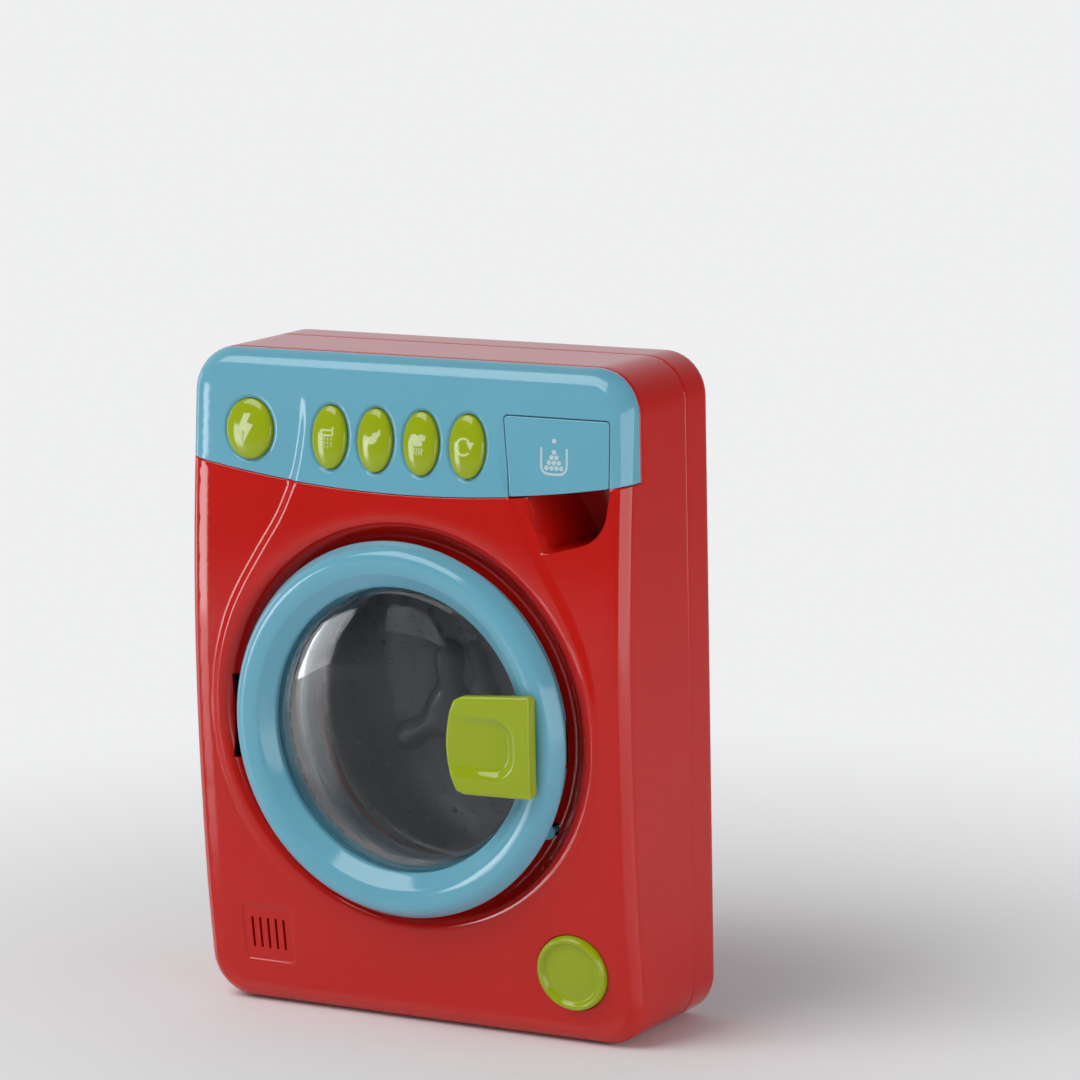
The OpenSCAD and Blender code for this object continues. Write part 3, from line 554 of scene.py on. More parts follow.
slot_h = dense(rounded([(-84.6, 107), (-72, 107), (-72, 143), (-84.6, 143)], 0.8, 2), 1.5)
peg = circle(65.8, 89, 2.7, 24)
slots = [dense(rounded([(SPK[0] + 3.9 * q - 0.6, 24.2), (SPK[0] + 3.9 * q + 0.6, 24.2),
                        (SPK[0] + 3.9 * q + 0.6, 37.8), (SPK[0] + 3.9 * q - 0.6, 37.8)], 0.5, 3), 1.5)
         for q in (-2, -1, 0, 1, 2)]
cap_h = circle(CAP[0], CAP[1], 13.2, 72)
holes = [mouth, slot_h, peg, cap_h] + slots
rows = [(circle(0, ZD, r, 180), 1)
        for r in (70.25, 70.6, 71.2, 72.5, 74, 75.5, 77, 78.5, 80, 81.5, 83, 84.2, 85.4, 86.6, 87.8, 89)]
rows += [(shifted(right_v, d, False), 0) for d in (-2.6, -1.7, -0.9, 0, 0.9, 1.7, 2.6)]
rows += [(shifted(right, d, False) * [-1, 1], 0) for d in (-2.6, -1.7, -0.9, 0, 0.9, 1.7, 2.6)]
rows = [(q[q[:, 1] < arc(q[:, 0]) - 0.9] if not c else q, c) for q, c in rows]
for d in (0.1, 0.25, 0.5, 0.9):
    rows.append((np.array([(x, arc(x) - 0.1 - d) for x in np.arange(-99.5, xl - 0.5, 1.6)]), 0))
wall = dense(WALL_S[:-2], 1.0, False)
wall = wall[wall[:, 0] > 45]
for d in (-1.2, -0.5, -0.13, 0.1, 0.35, 0.6, 0.85, 1.05, 1.17, 1.6):
    q = shifted(wall, d, False)
    rows.append((q[(q[:, 1] < 230.4) & (q[:, 1] < arc(q[:, 0]) - 0.6)], 0))
for d in (-1.6, -0.8, -0.3, 0.1, 0.5, 1.0, 1.8):
    q = np.array([(51.6 + (d - 0.4) * 0.891 + t * 0.454, 228 + (d - 0.4) * 0.454 - t * 0.891)
                  for t in np.arange(-1, 29, 1.2)])
    rows.append((q[q[:, 1] < arc(q[:, 0]) - 0.9], 0))
for d in (-0.52, -0.44):
    rows.append((np.array([(x, arc(x) + d) for x in np.arange(51.4, 88, 1.2)]), 0))
for d in (-0.6, 0, 0.2, 0.45, 0.7, 0.95, 1.5):
    b = 12.6 - d
    rows.append((rounded([(SPK[0] - b, SPK[1] - b), (SPK[0] + b, SPK[1] - b), (SPK[0] + b, SPK[1] + b),
                          (SPK[0] - b, SPK[1] + b)], max(2.6 - d, 0.8), 6), 1))
rows += [(circle(CAP[0], CAP[1], r, 96, r / 1.006), 1) for r in (17.2, 16.55, 16.4, 16.25, 16.1, 14.6)]
taken = np.vstack([q for q, _ in rows if len(q)] + holes)
pts = lattice(outer, 3.1, taken, 1.5)
rows = [(q, c) for q, c in rows if len(q) > 1]
v2, f2 = tri2d(outer, holes, rows, pts)
X, Z = v2[:, 0], v2[:, 1]
Y = shell_y(X, Z)
away = np.where((X > xl) & (X < 97.4), 9.0, np.maximum(arc(X) - 0.1 - Z, 0))
parts.append((on_skin(X, Y, Z, edge(away, 0.45)), f2))


def field_loop(q, f=shell_y):
    return np.stack([q[:, 0], f(q[:, 0], q[:, 1]), q[:, 1]], 1)


for h, d in [(mouth, 2.2), (slot_h, 1.3), (peg, 2.4), (cap_h, 4)] + [(s, 2.2) for s in slots]:
    parts.append(skirt(field_loop(h), (0, d, 0)))
e = edge(np.zeros(1), 0.45)[0]
q = np.array(seg_l)
parts.append(skirt(on_skin(q[:, 0], shell_y(q[:, 0], q[:, 1]), q[:, 1], np.full(len(q), e)), (0, 2.6, 0), False))
make("casing_front", parts, RED, "casing", ["front_shell"], outward=(0, 30, 140))


# Blue control panel.
def pan_e(x, y, z):
    return edge(np.minimum(np.maximum(z - arc(x) - 0.1, 0), np.maximum(-12 - y, 0)), 0.45)


def pan_half(i):
    zb = arc(HALF_W - i) + 0.1
    _, _, s, c1, top = outline(i, list(zb + (HEIGHT - CORNER - zb)
                                       * np.concatenate([[0, 0.004, 0.01, 0.02], np.linspace(0.08, 0.92, 9)])))
    return np.array(s + c1 + top)


pan_r = strip(pan_half, [(k,) for k in (0.2, 0.4, 0.6, 0.8, 0.9, 0.95, 0.985, 1.0)], pan_e)
last = np.array(pan_r[-1])
parts = both([grid(pan_r), grid([last, last * [0.982, 1, 1] - [0, 0, 1.4]])])
BTN = [("power_button", "key_power", -74.5, 247.2, 11.1, 12.6, 0.8)]
BTN += [(f"button_{i + 1}", f"key_{i + 1}", x, 246.0, 8.2, 13.1, 0.0)
        for i, x in enumerate((-34.6, -12.6, 9.4, 31.4))]
LIP = 1.5


def oval_d(x, z, b):
    """Distance outwards from the hole of a button."""
    u, w = x - b[2], (z - b[3]) / math.cos(lean(b[3]))
    A, B = b[4] + 0.4, b[5] + 0.4
    rho = np.hypot(u / A, w / B) + 1e-9
    return (rho - 1) / (np.hypot(u / A ** 2, w / B ** 2) / rho + 1e-9)


def panel_y(x, z):
    y = surf(x, z)
    for b in BTN:
        d = oval_d(x, z, b)
        y = y + 0.75 * sstep((LIP - d) / LIP)
    return y


ring = pan_half(I0)
edge_r = [(x, arc(x) + 0.1) for x in np.linspace(-(HALF_W - I0), HALF_W - I0, 160)]
gap = 0.42
open_l = left_edge(226.9) - gap
low_l = [q for q in edge_r if q[0] < open_l - 0.3] + [(open_l, arc(open_l) + 0.1)]
low_r2 = [(96.8 + gap, arc(97.2) + 0.1)] + [q for q in edge_r if q[0] > 97.6]
cut_path = dense(rounded([(open_l, arc(open_l) + 0.1), (47.8 - gap, 259.6 + gap), (96.8 + gap, 259.6 + gap),
                          (96.8 + gap, arc(97.2) + 0.1)], [0, 1.9, 1.9, 0], 6), 1.3)
i_end = int(np.argmin(((cut_path - [96.8 + gap, arc(97.2) + 0.1]) ** 2).sum(1)))
cut_path = cut_path[: i_end + 1]
outer = np.vstack([low_l, cut_path[1:-1], low_r2[:-1], ring, (ring * [-1, 1])[::-1][1:-1]])
oval = lambda b, d, n=72: circle(b[2], b[3], b[4] + 0.4 + d, n, (b[5] + 0.4 + d) * math.cos(lean(b[3])))
holes = [oval(b, 0) for b in BTN]
rows = [(oval(b, d), 1) for b in BTN for d in (0.15, 0.4, 0.7, 1.0, 1.25, 1.5, 2.2)]
for d in (-2.6, -1.7, -0.9, 0, 0.9, 1.7, 2.6):
    q = shifted(side, d, False)
    rows.append((q[q[:, 1] > arc(q[:, 0]) + 0.9] * [-1, 1], 0))
    q = shifted(near, d, False)
    q = q[(q[:, 1] > arc(q[:, 0]) + 0.9) & (q[:, 0] < left_edge(q[:, 1]) - 0.7)]
    rows.append((q, 0))
for d in (0.1, 0.25, 0.5, 0.9):
    rows.append((np.array([(x, arc(x) + 0.1 + d) for x in np.arange(-99.5, open_l - 1.2, 1.6)]), 0))
    rows.append((shifted(cut_path, d, False), 0))
rows = [(q, c) for q, c in rows if len(q) > 1]
taken = np.vstack([q for q, _ in rows] + holes)
pts = lattice(outer, 3.0, taken, 1.4)
v2, f2 = tri2d(outer, holes, rows, pts)
X, Z = v2[:, 0], v2[:, 1]
near_cut = np.full(X.shape, 99.0)
for a, b in zip(cut_path[:-1], cut_path[1:]):
    ab = b - a
    t = np.clip(((X - a[0]) * ab[0] + (Z - a[1]) * ab[1]) / (ab @ ab), 0, 1)
    near_cut = np.minimum(near_cut, np.hypot(X - a[0] - t * ab[0], Z - a[1] - t * ab[1]))
d = np.minimum(np.maximum(Z - arc(X) - 0.1, 0), near_cut)
parts.append((on_skin(X, panel_y(X, Z), Z, edge(d, 0.45)), f2))
for h in holes:
    parts.append(skirt(field_loop(h, panel_y), (0, 2.2, 0)))
q = np.array(low_l)
parts.append(skirt(on_skin(q[:, 0], panel_y(q[:, 0], q[:, 1]), q[:, 1], np.full(len(q), e)), (0, 2.4, 0), False))
parts.append(skirt(on_skin(cut_path[:, 0], panel_y(cut_path[:, 0], cut_path[:, 1]), cut_path[:, 1],
                           np.full(len(cut_path), e)), (0, 3.0, 0), False))
make("panel_face", parts, BLUE, "casing", ["control_panel"], outward=(0, 0, 240))


# Buttons.
def to_front(x, z, d=0.0):
    """Matrix from the local frame on the leaning front to the casing's frame, in metres."""
    return Matrix.Translation(Vector((x, yf(z) + d, z)) * MM) @ Matrix.Rotation(-lean(z), 4, "X")


def dome(s):
    return -0.35 - 2.45 * np.sqrt(np.clip(1 - s * s, 0, 1))


for nid, body, bx, bz, ba, bb, bd in BTN:
    a = np.arange(96) * 2 * math.pi / 96
    rings = []
    for t in np.radians(np.linspace(0.3, 90, 15)):
        s = math.sin(t)
        rings.append(np.stack([ba * s * np.cos(a), np.full(96, float(dome(np.array(s)))), bb * s * np.sin(a)], 1))
    for y in (0.4, 2.3 - bd):
        rings.append(np.stack([ba * np.cos(a), np.full(96, y), bb * np.sin(a)], 1))
    for g, y in ((0.9, 2.3 - bd), (0.9, 3.5 - bd), (0, 3.5 - bd), (0, 3.8), (2.5 - ba, 3.8)):
        rings.append(np.stack([(ba + g) * np.cos(a), np.full(96, y), (bb + g if g > -1 else 2.5) * np.sin(a)], 1))
    rings.append(np.stack([2.5 * np.cos(a), np.full(96, 7.2 - bd), 2.5 * np.sin(a)], 1))
    rings.append(np.stack([0.01 * np.cos(a), np.full(96, 7.2 - bd), 0.01 * np.sin(a)], 1))
    make(nid + "_cap", [grid(rings, cv=True)], GREEN, body, [nid], outward=None, place=to_front(bx, bz, bd))


def stroke(path, w):
    """Outline of a line of width w with flat ends."""
    return np.vstack([shifted(path, w / 2, False), shifted(path, -w / 2, False)[::-1]])


def ccw(lp):
    """The loop, turned round if it runs clockwise."""
    area = sum((lp[i - 1][0] * lp[i][1] - lp[i][0] * lp[i - 1][1]) for i in range(len(lp)))
    return lp[::-1] if area < 0 else lp


def print_on(name, loops, height, material, body, place, step=1.0):
    """Thin print laid on a curved face; height gives the face's y at local x, z."""
    parts = []
    for lp in loops:
        lp = ccw(dense(lp, 0.8))
        pts = lattice(lp, step, lp, 0.35)
        v, f = tri2d(lp, (), (), pts)
        y = height(v[:, 0], v[:, 1])
        parts.append((np.stack([v[:, 0], y - 0.035, v[:, 1]], 1), f))
        ly = height(lp[:, 0], lp[:, 1]) - 0.035
        parts.append(skirt(np.stack([lp[:, 0], ly, lp[:, 1]], 1), (0, 0.06, 0)))
    return make(name, parts, material, body, place=place, weld=1e-4, outward=None)


def arc_path(cx, cz, r, a0, a1, n=24):
    t = np.radians(np.linspace(a0, a1, n))
    return np.stack([cx + r * np.cos(t), cz + r * np.sin(t)], 1)


SIGNS = {
    "power_button": [[(-1.6, 6.4), (1.9, 6.4), (0.1, 2.6), (3.2, 1.8), (-1.6, -6.6), (-0.9, -1.2), (-4.2, -0.6)]],
    "button_1": [stroke([(-2.9, 3.0), (3.2, 3.0)], 0.8), stroke([(-2.9, 0.9), (3.2, 0.9)], 0.8),
                 stroke([(-2.6, 3.3), (-2.6, 0.6)], 0.8), stroke([(2.9, 4.6), (2.9, 0.6)], 0.8)]
    + [stroke([(x, z + 0.5), (x, z - 0.5)], 0.55)
       for x in (-2.4, -0.8, 0.8, 2.4) for z in (-0.6, -2.2, -3.8 if abs(x) < 2 else -3.3)],
    "button_2": [[(-3.4, -3.6), (-3.4, -0.6), (-2.2, 1.2), (0.0, 1.8), (0.4, 3.2), (2.2, 3.4), (3.8, 5.0),
                  (4.0, 2.6), (2.6, 1.0), (2.2, -0.4), (0.6, -1.6), (-1.6, -1.4), (-2.0, -3.6)]],
    "button_3": [[(-3.6, 3.4), (-1.4, 4.0), (0.0, 3.3), (1.4, 4.0), (3.6, 3.4), (3.4, 1.2), (2.2, 1.4), (2.2, -1.0),
                  (-2.2, -1.0), (-2.2, 1.4), (-3.4, 1.2)]]
    + [stroke([(x, -1.6), (x + 0.35, -2.6), (x - 0.2, -3.6), (x + 0.2, -4.6)], 0.6) for x in (-1.8, -0.5, 0.8, 2.0)],
    "button_4": [stroke(arc_path(-0.2, 0, 3.4, 42, 318), 0.95), [(1.0, 2.2), (4.6, 2.0), (3.0, -1.4)]],
}
for nid, body, bx, bz, ba, bb, bd in BTN:
    h = lambda x, z, ba=ba, bb=bb: dome(np.hypot(x / ba, z / bb))
    print_on(nid + "_sign", SIGNS[nid], h, PRINT_G, body, to_front(bx, bz, bd))

# Detergent drawer.
face = rounded([(47.8, 259.6), (96.8, 259.6), (96.8, arc(96.8) + 0.15), (74.0, arc(74) + 0.15),
                (left_edge(226.9), arc(51.2) + 0.15)], [1.6, 1.6, 1.0, 0, 1.4], 6)
face = dense(face, 1.3)
low_edge = face[:, 1] < 233.2
face = np.stack([face[:, 0], np.where(low_edge & (face[:, 0] > 53.5) & (face[:, 0] < 95.2), arc(face[:, 0]) + 0.15,
                                      face[:, 1])], 1)
face = ccw(face)
rows = [(shifted(face, d), 1) for d in (0.08, 0.2, 0.35, 0.55, 1.0)]
pts = lattice(face, 3.0, np.vstack([q for q, _ in rows]), 1.4)
v2, f2 = tri2d(face, (), rows, pts)
X, Z = v2[:, 0], v2[:, 1]
fy = lambda x, z: surf(x, z) + edge(np.maximum(sdist(x, z, face), 0), 0.5)
parts = [(np.stack([X, fy(X, Z), Z], 1), f2)]
front_loop = np.stack([face[:, 0], surf(face[:, 0], face[:, 1]) + 0.5, face[:, 1]], 1)
back_loop = front_loop * [1, 0, 1] + [0, -14.4, 0]
parts.append(grid([front_loop, back_loop], cv=True))
vb, fb = tri2d(face, (), (), lattice(face, 8.0, face, 2.0))
parts.append((np.stack([vb[:, 0], np.full(len(vb), -14.4), vb[:, 1]], 1), fb))


def tray(x0, x1, y0, y1, z0, z1, wl, floor, front):
    """Open tray with walls of thickness wl."""
    o = [(x0, y0), (x1, y0), (x1, y1), (x0, y1)]
    i = [(x0 + wl, y0 + front), (x1 - wl, y0 + front), (x1 - wl, y1 - wl), (x0 + wl, y1 - wl)]
    o = rounded(o, [0, 0, 2.2, 2.2], 5)
    i = rounded(i, 1.4, 5)
    o, i = dense(o, 4), dense(i, 4)
    lift = lambda l, z: np.stack([l[:, 0], l[:, 1], np.full(len(l), z)], 1)
    vo, fo = tri2d(o, (), (), [])
    vi, fi = tri2d(i, (), (), [])
    vr, fr = tri2d(o, [i], (), [])
    return [skirt(lift(o, z0), (0, 0, z1 - z0)), skirt(lift(i, floor), (0, 0, z1 - floor)),
            (lift(vo, z0), fo), (lift(vi, floor), fi), (lift(vr, z1), fr)]


make("drawer_front", parts, BLUE, "drawer", ["detergent_drawer"], outward=(74, -20, 243))
make("drawer_tray", tray(53.6, 94.6, -14.5, 26, 233.4, 252, 1.6, 235, 2.1), BLUE, "drawer", bevel=0.25)
cup = [(-5.9, 4.6), (-5.9, -2.6), (-5.2, -4.7), (-3.2, -5.9), (3.2, -5.9), (5.2, -4.7), (5.9, -2.6), (5.9, 4.6)]
sign = [stroke(spline(cup, 5), 0.95)]
for k in range(4):
    sign += [circle(-1.15 * k + 2.3 * j, 2.9 - 2.15 * k, 1.02, 18) for j in range(k + 1)]
sign.append(circle(0, 7.4, 1.02, 18))
SX, SZ = 71.6, 243.2
print_on("drawer_sign", [np.asarray(s) + [SX, SZ] for s in sign], surf, PRINT_B, "drawer", None)


# Door.
def cut_box(o, boxes):
    """Cuts boxes out of a piece, in millimetres."""
    for lo, hi in boxes:
        me = bpy.data.meshes.new("cutter")
        bm = bmesh.new()
        bmesh.ops.create_cube(bm, size=1.0)
        for q in bm.verts:
            q.co = Vector([(lo[i] + (q.co[i] + 0.5) * (hi[i] - lo[i])) * MM for i in range(3)])
        bm.to_mesh(me)
        bm.free()
        c = bpy.data.objects.new("cutter", me)
        bpy.context.scene.collection.objects.link(c)
        m = o.modifiers.new("cut", "BOOLEAN")
        m.operation, m.object, m.solver = "DIFFERENCE", c, "EXACT"
        dg = bpy.context.evaluated_depsgraph_get()
        new = bpy.data.meshes.new_from_object(o.evaluated_get(dg))
        o.modifiers.clear()
        o.data = new
        bpy.data.objects.remove(c)
    bm = bmesh.new()
    bm.from_mesh(o.data)
    for f in bm.faces:
        f.smooth = True
    for q in bm.edges:
        q.smooth = len(q.link_faces) == 2 and q.calc_face_angle(0) < math.radians(38)
    bm.to_mesh(o.data)
    bm.free()


out = np.vstack([[(60.0, -30.4), (60.0, -32.1)], spline([(60.1, -32.5), (60.6, -33.1), (61.4, -33.8)], 3),
                 spline([(64.6, -36.35), (65.5, -37.05), (66.4, -37.65), (67.8, -38.2)], 4),
                 spline([(69.4, -38.6), (71.2, -38.85), (72.9, -38.8), (74.4, -38.4), (75.6, -37.6), (76.6, -36.5),
                         (77.6, -34.9), (78.4, -33.3), (78.9, -32.2)], 5),
                 spline([(79.1, -31.6), (79.0, -31.1), (78.6, -30.9), (78.0, -30.95)], 3)])
prof = np.vstack([out, [(77.2, -31), (75.6, -30.4), (75.6, -25.2), (75.4, -25), (73.6, -25), (73.6, -34.7),
                        (72.6, -36.2), (71, -36.7), (69, -36.4), (66.8, -35.4),
                        (65.2, -34), (65, -32.5), (65, -25), (62.8, -25), (62.8, -29.7), (60.2, -29.7), out[0]]])
ringo = make("door_ring_moulding", [turned(prof, 240)], BLUE, "door", ["door_ring"], sharp=40)
cut_box(ringo, [((56, -50, 115.2), (69.2, -20, 137.8)), ((56, -34.4, 115.3), (72.6, -20, 137.7))])
prof = [(58.8, -27.6), (59.1, -27.9), (62.1, -27.9), (62.4, -27.6), (62.4, -24.95), (75.6, -24.95), (75.6, -23.6),
        (75.2, -23.2), (59.2, -23.2), (58.8, -23.6)]
back_ring = make("door_back_ring", [turned(prof, 240)], BLUE, "door", ["door_retainer"], sharp=40)
cut_box(back_ring, [((65, -30, 116.2), (80.5, -20, 136.8)), ((58, -30, 115), (70, -24.9, 138))])
a = np.arange(24) * math.pi / 12
peg = [np.stack([65.8 + r * np.cos(a), np.full(24, y), 89 + r * np.sin(a)], 1)
       for r, y in ((0.01, -24.9), (3.0, -24.9), (3.0, -23.4), (2.6, -23.1), (1.7, -22.9), (1.4, -22.4),
                    (1.4, -16.4), (1.0, -15.9), (0.01, -15.9))]
make("switch_peg", [grid(peg, cv=True)], BLUE, "door", outward=(65.8, -20, 89))
lens = spline([(0, -35.6), (12, -35.5), (24, -35.2), (36, -34.6), (46, -33.8), (53, -32.8), (57.0, -31.7),
               (59.4, -30.1)], 6)
inner = spline([(59.0, -29.2), (56.6, -30.3), (52.4, -31.4), (45.6, -32.4), (35.8, -33.2), (24, -33.8), (12, -34.1),
                (0, -34.2)], 6)
prof = np.vstack([lens, [(59.7, -29.5), (62.4, -29.5), (62.4, -28.0), (59.6, -28.0)], inner])
make("door_window", [turned(prof, 192)], CLEAR, "door", ["door_lens"], sharp=50)

# Handle.
rim = rounded([(70, 107.0), (70, 149.5), (38.6, 147.2), (34.4, 145.2), (32.6, 140.6), (31.2, 135), (30.4, 127.4),
               (30.9, 120), (32.5, 113.4), (35.0, 107.6), (38.6, 106.4)],
              [1.0, 1.0, 2, 2.5, 6, 20, 20, 20, 6, 2.5, 2], 6)
rim = ccw(dense(rim, 1.0))
scoop = rounded([(10, 114.4), (62.6, 114.4), (62.6, 139.4), (10, 139.4)], [0, 9.5, 9.5, 0], 10)


def handle_y(x, z):
    d = np.maximum(sdist(x, z, rim), 0)
    deep = 0.4 + 2.3 * np.clip((x - 32) / 28, 0, 1)
    s = sstep(sdist(x, z, scoop) / 4.0 + 0.1)
    crown = 0.25 * ((z - 126.5) / 20) ** 2
    return -46 + crown + edge(d, 1.3) + deep * s


rows = [(shifted(rim, d), 1) for d in (0.06, 0.2, 0.45, 0.8, 1.2, 1.7, 2.3)]
near = np.vstack([q for q, _ in rows])
pts = lattice(rim, 1.2, near, 0.8)
v2, f2 = tri2d(rim, (), rows, pts)
parts = [(np.stack([v2[:, 0], handle_y(v2[:, 0], v2[:, 1]), v2[:, 1]], 1), f2)]
fl = np.stack([rim[:, 0], handle_y(rim[:, 0], rim[:, 1]), rim[:, 1]], 1)
bl = fl * [1, 0, 1] + [0, -41.9, 0]
inl = shifted(rim, 0.3)
inl = np.stack([inl[:, 0], np.full(len(inl), -41.6), inl[:, 1]], 1)
parts += [grid([fl, bl, inl], cv=True)]
vb, fb = tri2d(inl[:, [0, 2]], (), (), lattice(rim, 6, rim, 2))
parts.append((np.stack([vb[:, 0], np.full(len(vb), -41.6), vb[:, 1]], 1), fb))
make("handle_plate", parts, GREEN, "handle", ["door_handle"], outward=(50, -43, 126))
hook = rounded([(62.4, -41.7), (67.4, -41.7), (67.4, -35.6), (70.2, -34.1), (72.2, -31), (72.2, -25), (72.2, -22.4),
                (73.2, -21.4), (73.1, -20.4), (70.9, -20.5), (70.8, -26.0),
                (68.3, -29.0), (65.9, -30.2), (65.8, -33), (62.4, -33)],
                [0, 0, 1.5, 1.5, 3, 3, 1.2, 0.3, 0.3, 0.6, 3, 1, 1, 1, 0.6], 4)
vh, fh = tri2d(hook, (), (), [])
parts = [(np.stack([vh[:, 0], vh[:, 1], np.full(len(vh), z)], 1), fh) for z in (117.2, 135.8)]
parts.append(skirt(np.stack([hook[:, 0], hook[:, 1], np.full(len(hook), 117.2)], 1), (0, 0, 18.6)))
block = rounded([(62.6, 107.8), (69.7, 107.8), (69.7, 148.2), (62.6, 148.2)], 0.8, 3)
vh, fh = tri2d(block, (), (), [])
parts += [(np.stack([vh[:, 0], np.full(len(vh), y), vh[:, 1]], 1), fh) for y in (-41.7, -39.5)]
parts.append(skirt(np.stack([block[:, 0], np.full(len(block), -41.7), block[:, 1]], 1), (0, 2.2, 0)))
make("handle_hook", parts, GREEN, "handle", bevel=0.3, outward=(71, -28, 126))

# Round cap.
prof = spline([(0.001, 2.6), (4, 2.5), (8, 2.25), (11, 2.0), (12.3, 2.15), (12.9, 2.8), (13.6, 3.6), (14.6, 3.9),
               (15.5, 3.3), (16, 2.0), (15.9, 0.2), (13.4, 0.0), (12.4, -0.2), (12.4, -5)], 6)
a = np.arange(128) * 2 * math.pi / 128
g = np.stack([prof[:, 0][:, None] * np.cos(a), np.repeat(1.15 - prof[:, 1][:, None], 128, 1),
              prof[:, 0][:, None] * np.sin(a)], 2)
make("round_cap", [grid(g, cv=True)], GREEN, "casing", ["filter_cap"], outward=(0, 2, 0), place=to_front(*CAP))

# Drum.
prof = [(0.01, 11), (59, 11), (60.4, 10.7), (61.5, 9.9), (62.2, 8.8), (62.4, 7.6), (62.4, -10.4), (62.6, -11.2),
        (63.0, -15.0), (63.2, -15.4), (67.9, -15.4), (68.8, -15.6),
        (69.2, -15.2), (69.2, -11.2), (68.8, -10.6), (64.8, -8.9), (64.4, -8.4), (64.4, 9), (63.6, 11), (61.6, 12.8),
        (60, 13.2), (0.01, 13.2)]
parts = [turned(prof, 180)]
for k in range(60):
    t = math.radians(6 * k)
    c, s = math.cos(t), math.sin(t)
    q = []
    for r0, w, y in ((63.2, 1.1, -15.2), (63.3, 0.9, -16.2), (63.5, 0.65, -16.4)):
        r1 = 131.2 - r0
        q.append([(r0 * c + w * s, y, ZD + r0 * s - w * c), (r0 * c - w * s, y, ZD + r0 * s + w * c),
                  (r1 * c - w * s, y, ZD + r1 * s + w * c), (r1 * c + w * s, y, ZD + r1 * s - w * c)])
    v, f = grid(q, cv=True)
    parts.append((v, f + [(8, 9, 10, 11)]))
for k in range(3):
    for j in range(22 + 6 * k):
        t = 2 * math.pi * j / (22 + 6 * k)
        cx, cz = (35 + 7.5 * k) * math.cos(t), ZD + (35 + 7.5 * k) * math.sin(t)
        b = np.arange(10) * 2 * math.pi / 10
        parts.append(grid([np.stack([cx + r * np.cos(b), np.full(10, y), cz + r * np.sin(b)], 1)
                           for r, y in ((1.5, 11.0), (1.2, 10.55), (0.7, 10.28), (0.02, 10.2))], cv=True))
make("drum_shell", parts, DARK, "drum_group", ["drum"], sharp=45, weld=1e-3)


# Three-armed paddle.
def paddle_d(x, z):
    """Distance inside the soft three-armed outline."""
    d = 12.0 - np.hypot(x, z)
    for t in np.radians([90, 210, 330]):
        u = np.clip(x * math.cos(t) + z * math.sin(t), 0, 24)
        w = 4.4 + 2.6 * sstep((u - 8) / 16)
        q = w - np.hypot(x - u * math.cos(t), z - u * math.sin(t))
        h = np.clip(0.5 + 0.5 * (q - d) / 7.0, 0, 1)
        d = d * (1 - h) + q * h + 7.0 * h * (1 - h)
    return d


a = np.arange(180) * 2 * math.pi / 180
R = np.full(180, 2.0)
for _ in range(400):
    R = np.where(paddle_d(R * np.cos(a), R * np.sin(a)) > 0, R + 0.1, R)
rings = []
for s in np.sin(np.radians(np.linspace(0.2, 90, 26))):
    x, z = R * s * np.cos(a), R * s * np.sin(a)
    q = np.clip(1 - paddle_d(x, z) / 6.5, 0, 1)
    y = 10.95 - 7.4 * np.sqrt(np.clip(1 - q * q, 0, 1)) - 0.5 * np.exp(-(x * x + z * z) / 60)
    rings.append(np.stack([x, np.minimum(y, 10.95), ZD + z], 1))
make("paddle", [grid(rings, cv=True)], DARK, "drum_group", ["agitator"], outward=(0, 12, 127))


# Red rear shell.
def rear_e(y):
    return edge(y - SEAM_BACK, 0.5)


def full_ring(i, nside=50):
    b, c0, s, c1, top = outline(i, np.linspace(18, 262, nside)[1:-1])
    h = np.array(b + c0 + s + c1 + top)
    return np.vstack([h, (h * [-1, 1])[::-1][1:-1]])


rings = []
for y in (SEAM_BACK, 26.16, 26.25, 26.4, 26.65, 29, 33, 37, 41):
    q = full_ring(0.0)
    nx, nz = out2d(q[:, 0], q[:, 1])
    ee = rear_e(y)
    rings.append(np.stack([q[:, 0] - nx * ee, np.full(len(q), y), q[:, 1] - nz * ee], 1))
for t in np.radians(np.linspace(0, 90, 8)):
    q = full_ring(3 * (1 - math.cos(t)))
    rings.append(np.stack([q[:, 0], np.full(len(q), 43 + 3 * math.sin(t)), q[:, 1]], 1))
parts = [grid(rings, cv=True)]
q = full_ring(2.4)
parts.append(grid([rings[0], np.stack([q[:, 0], np.full(len(q), SEAM_BACK), q[:, 1]], 1)], cv=True))
outer = full_ring(3.0)
door_cut = dense(rounded([(-35.6, 9.4), (-20, 9.4), (-20, 7.6), (-12, 7.6), (-12, 9.4), (12, 9.4), (12, 7.6),
                          (20, 7.6), (20, 9.4), (35.6, 9.4), (35.6, 70.6), (5, 70.6), (5, 76.6),
                          (-5, 76.6), (-5, 70.6), (-35.6, 70.6)],
                          [1.5, 0, 0, 0, 0, 0, 0, 0, 0, 1.5, 1.5, 0.6, 1.2, 1.2, 0.6, 1.5], 4), 2.5)
BOSS = [(-88, 268), (88, 268), (-96, 170), (96, 170), (-88, 12), (88, 12)]
holes = [door_cut] + [circle(x, z, 3.6, 32) for x, z in BOSS]
rows = [(circle(x, z, 3.95, 32), 1) for x, z in BOSS]
v2, f2 = tri2d(outer, holes, rows, lattice(outer, 6, np.vstack(holes), 2.5))
parts.append((np.stack([v2[:, 0], np.full(len(v2), 46.0), v2[:, 1]], 1), f2))
lift = lambda l, y: np.stack([l[:, 0], np.full(len(l), float(y)), l[:, 1]], 1)
parts.append(skirt(lift(door_cut, 46), (0, -2, 0)))
bay = dense(rounded([(-33, 12), (33, 12), (33, 66), (-33, 66)], 1.0, 3), 3)
v2, f2 = tri2d(door_cut, [bay], (), [])
parts.append((lift(v2, 44), f2))
parts.append(skirt(lift(bay, 44), (0, -16, 0)))
v2, f2 = tri2d(bay, (), (), lattice(bay, 8, bay, 3))
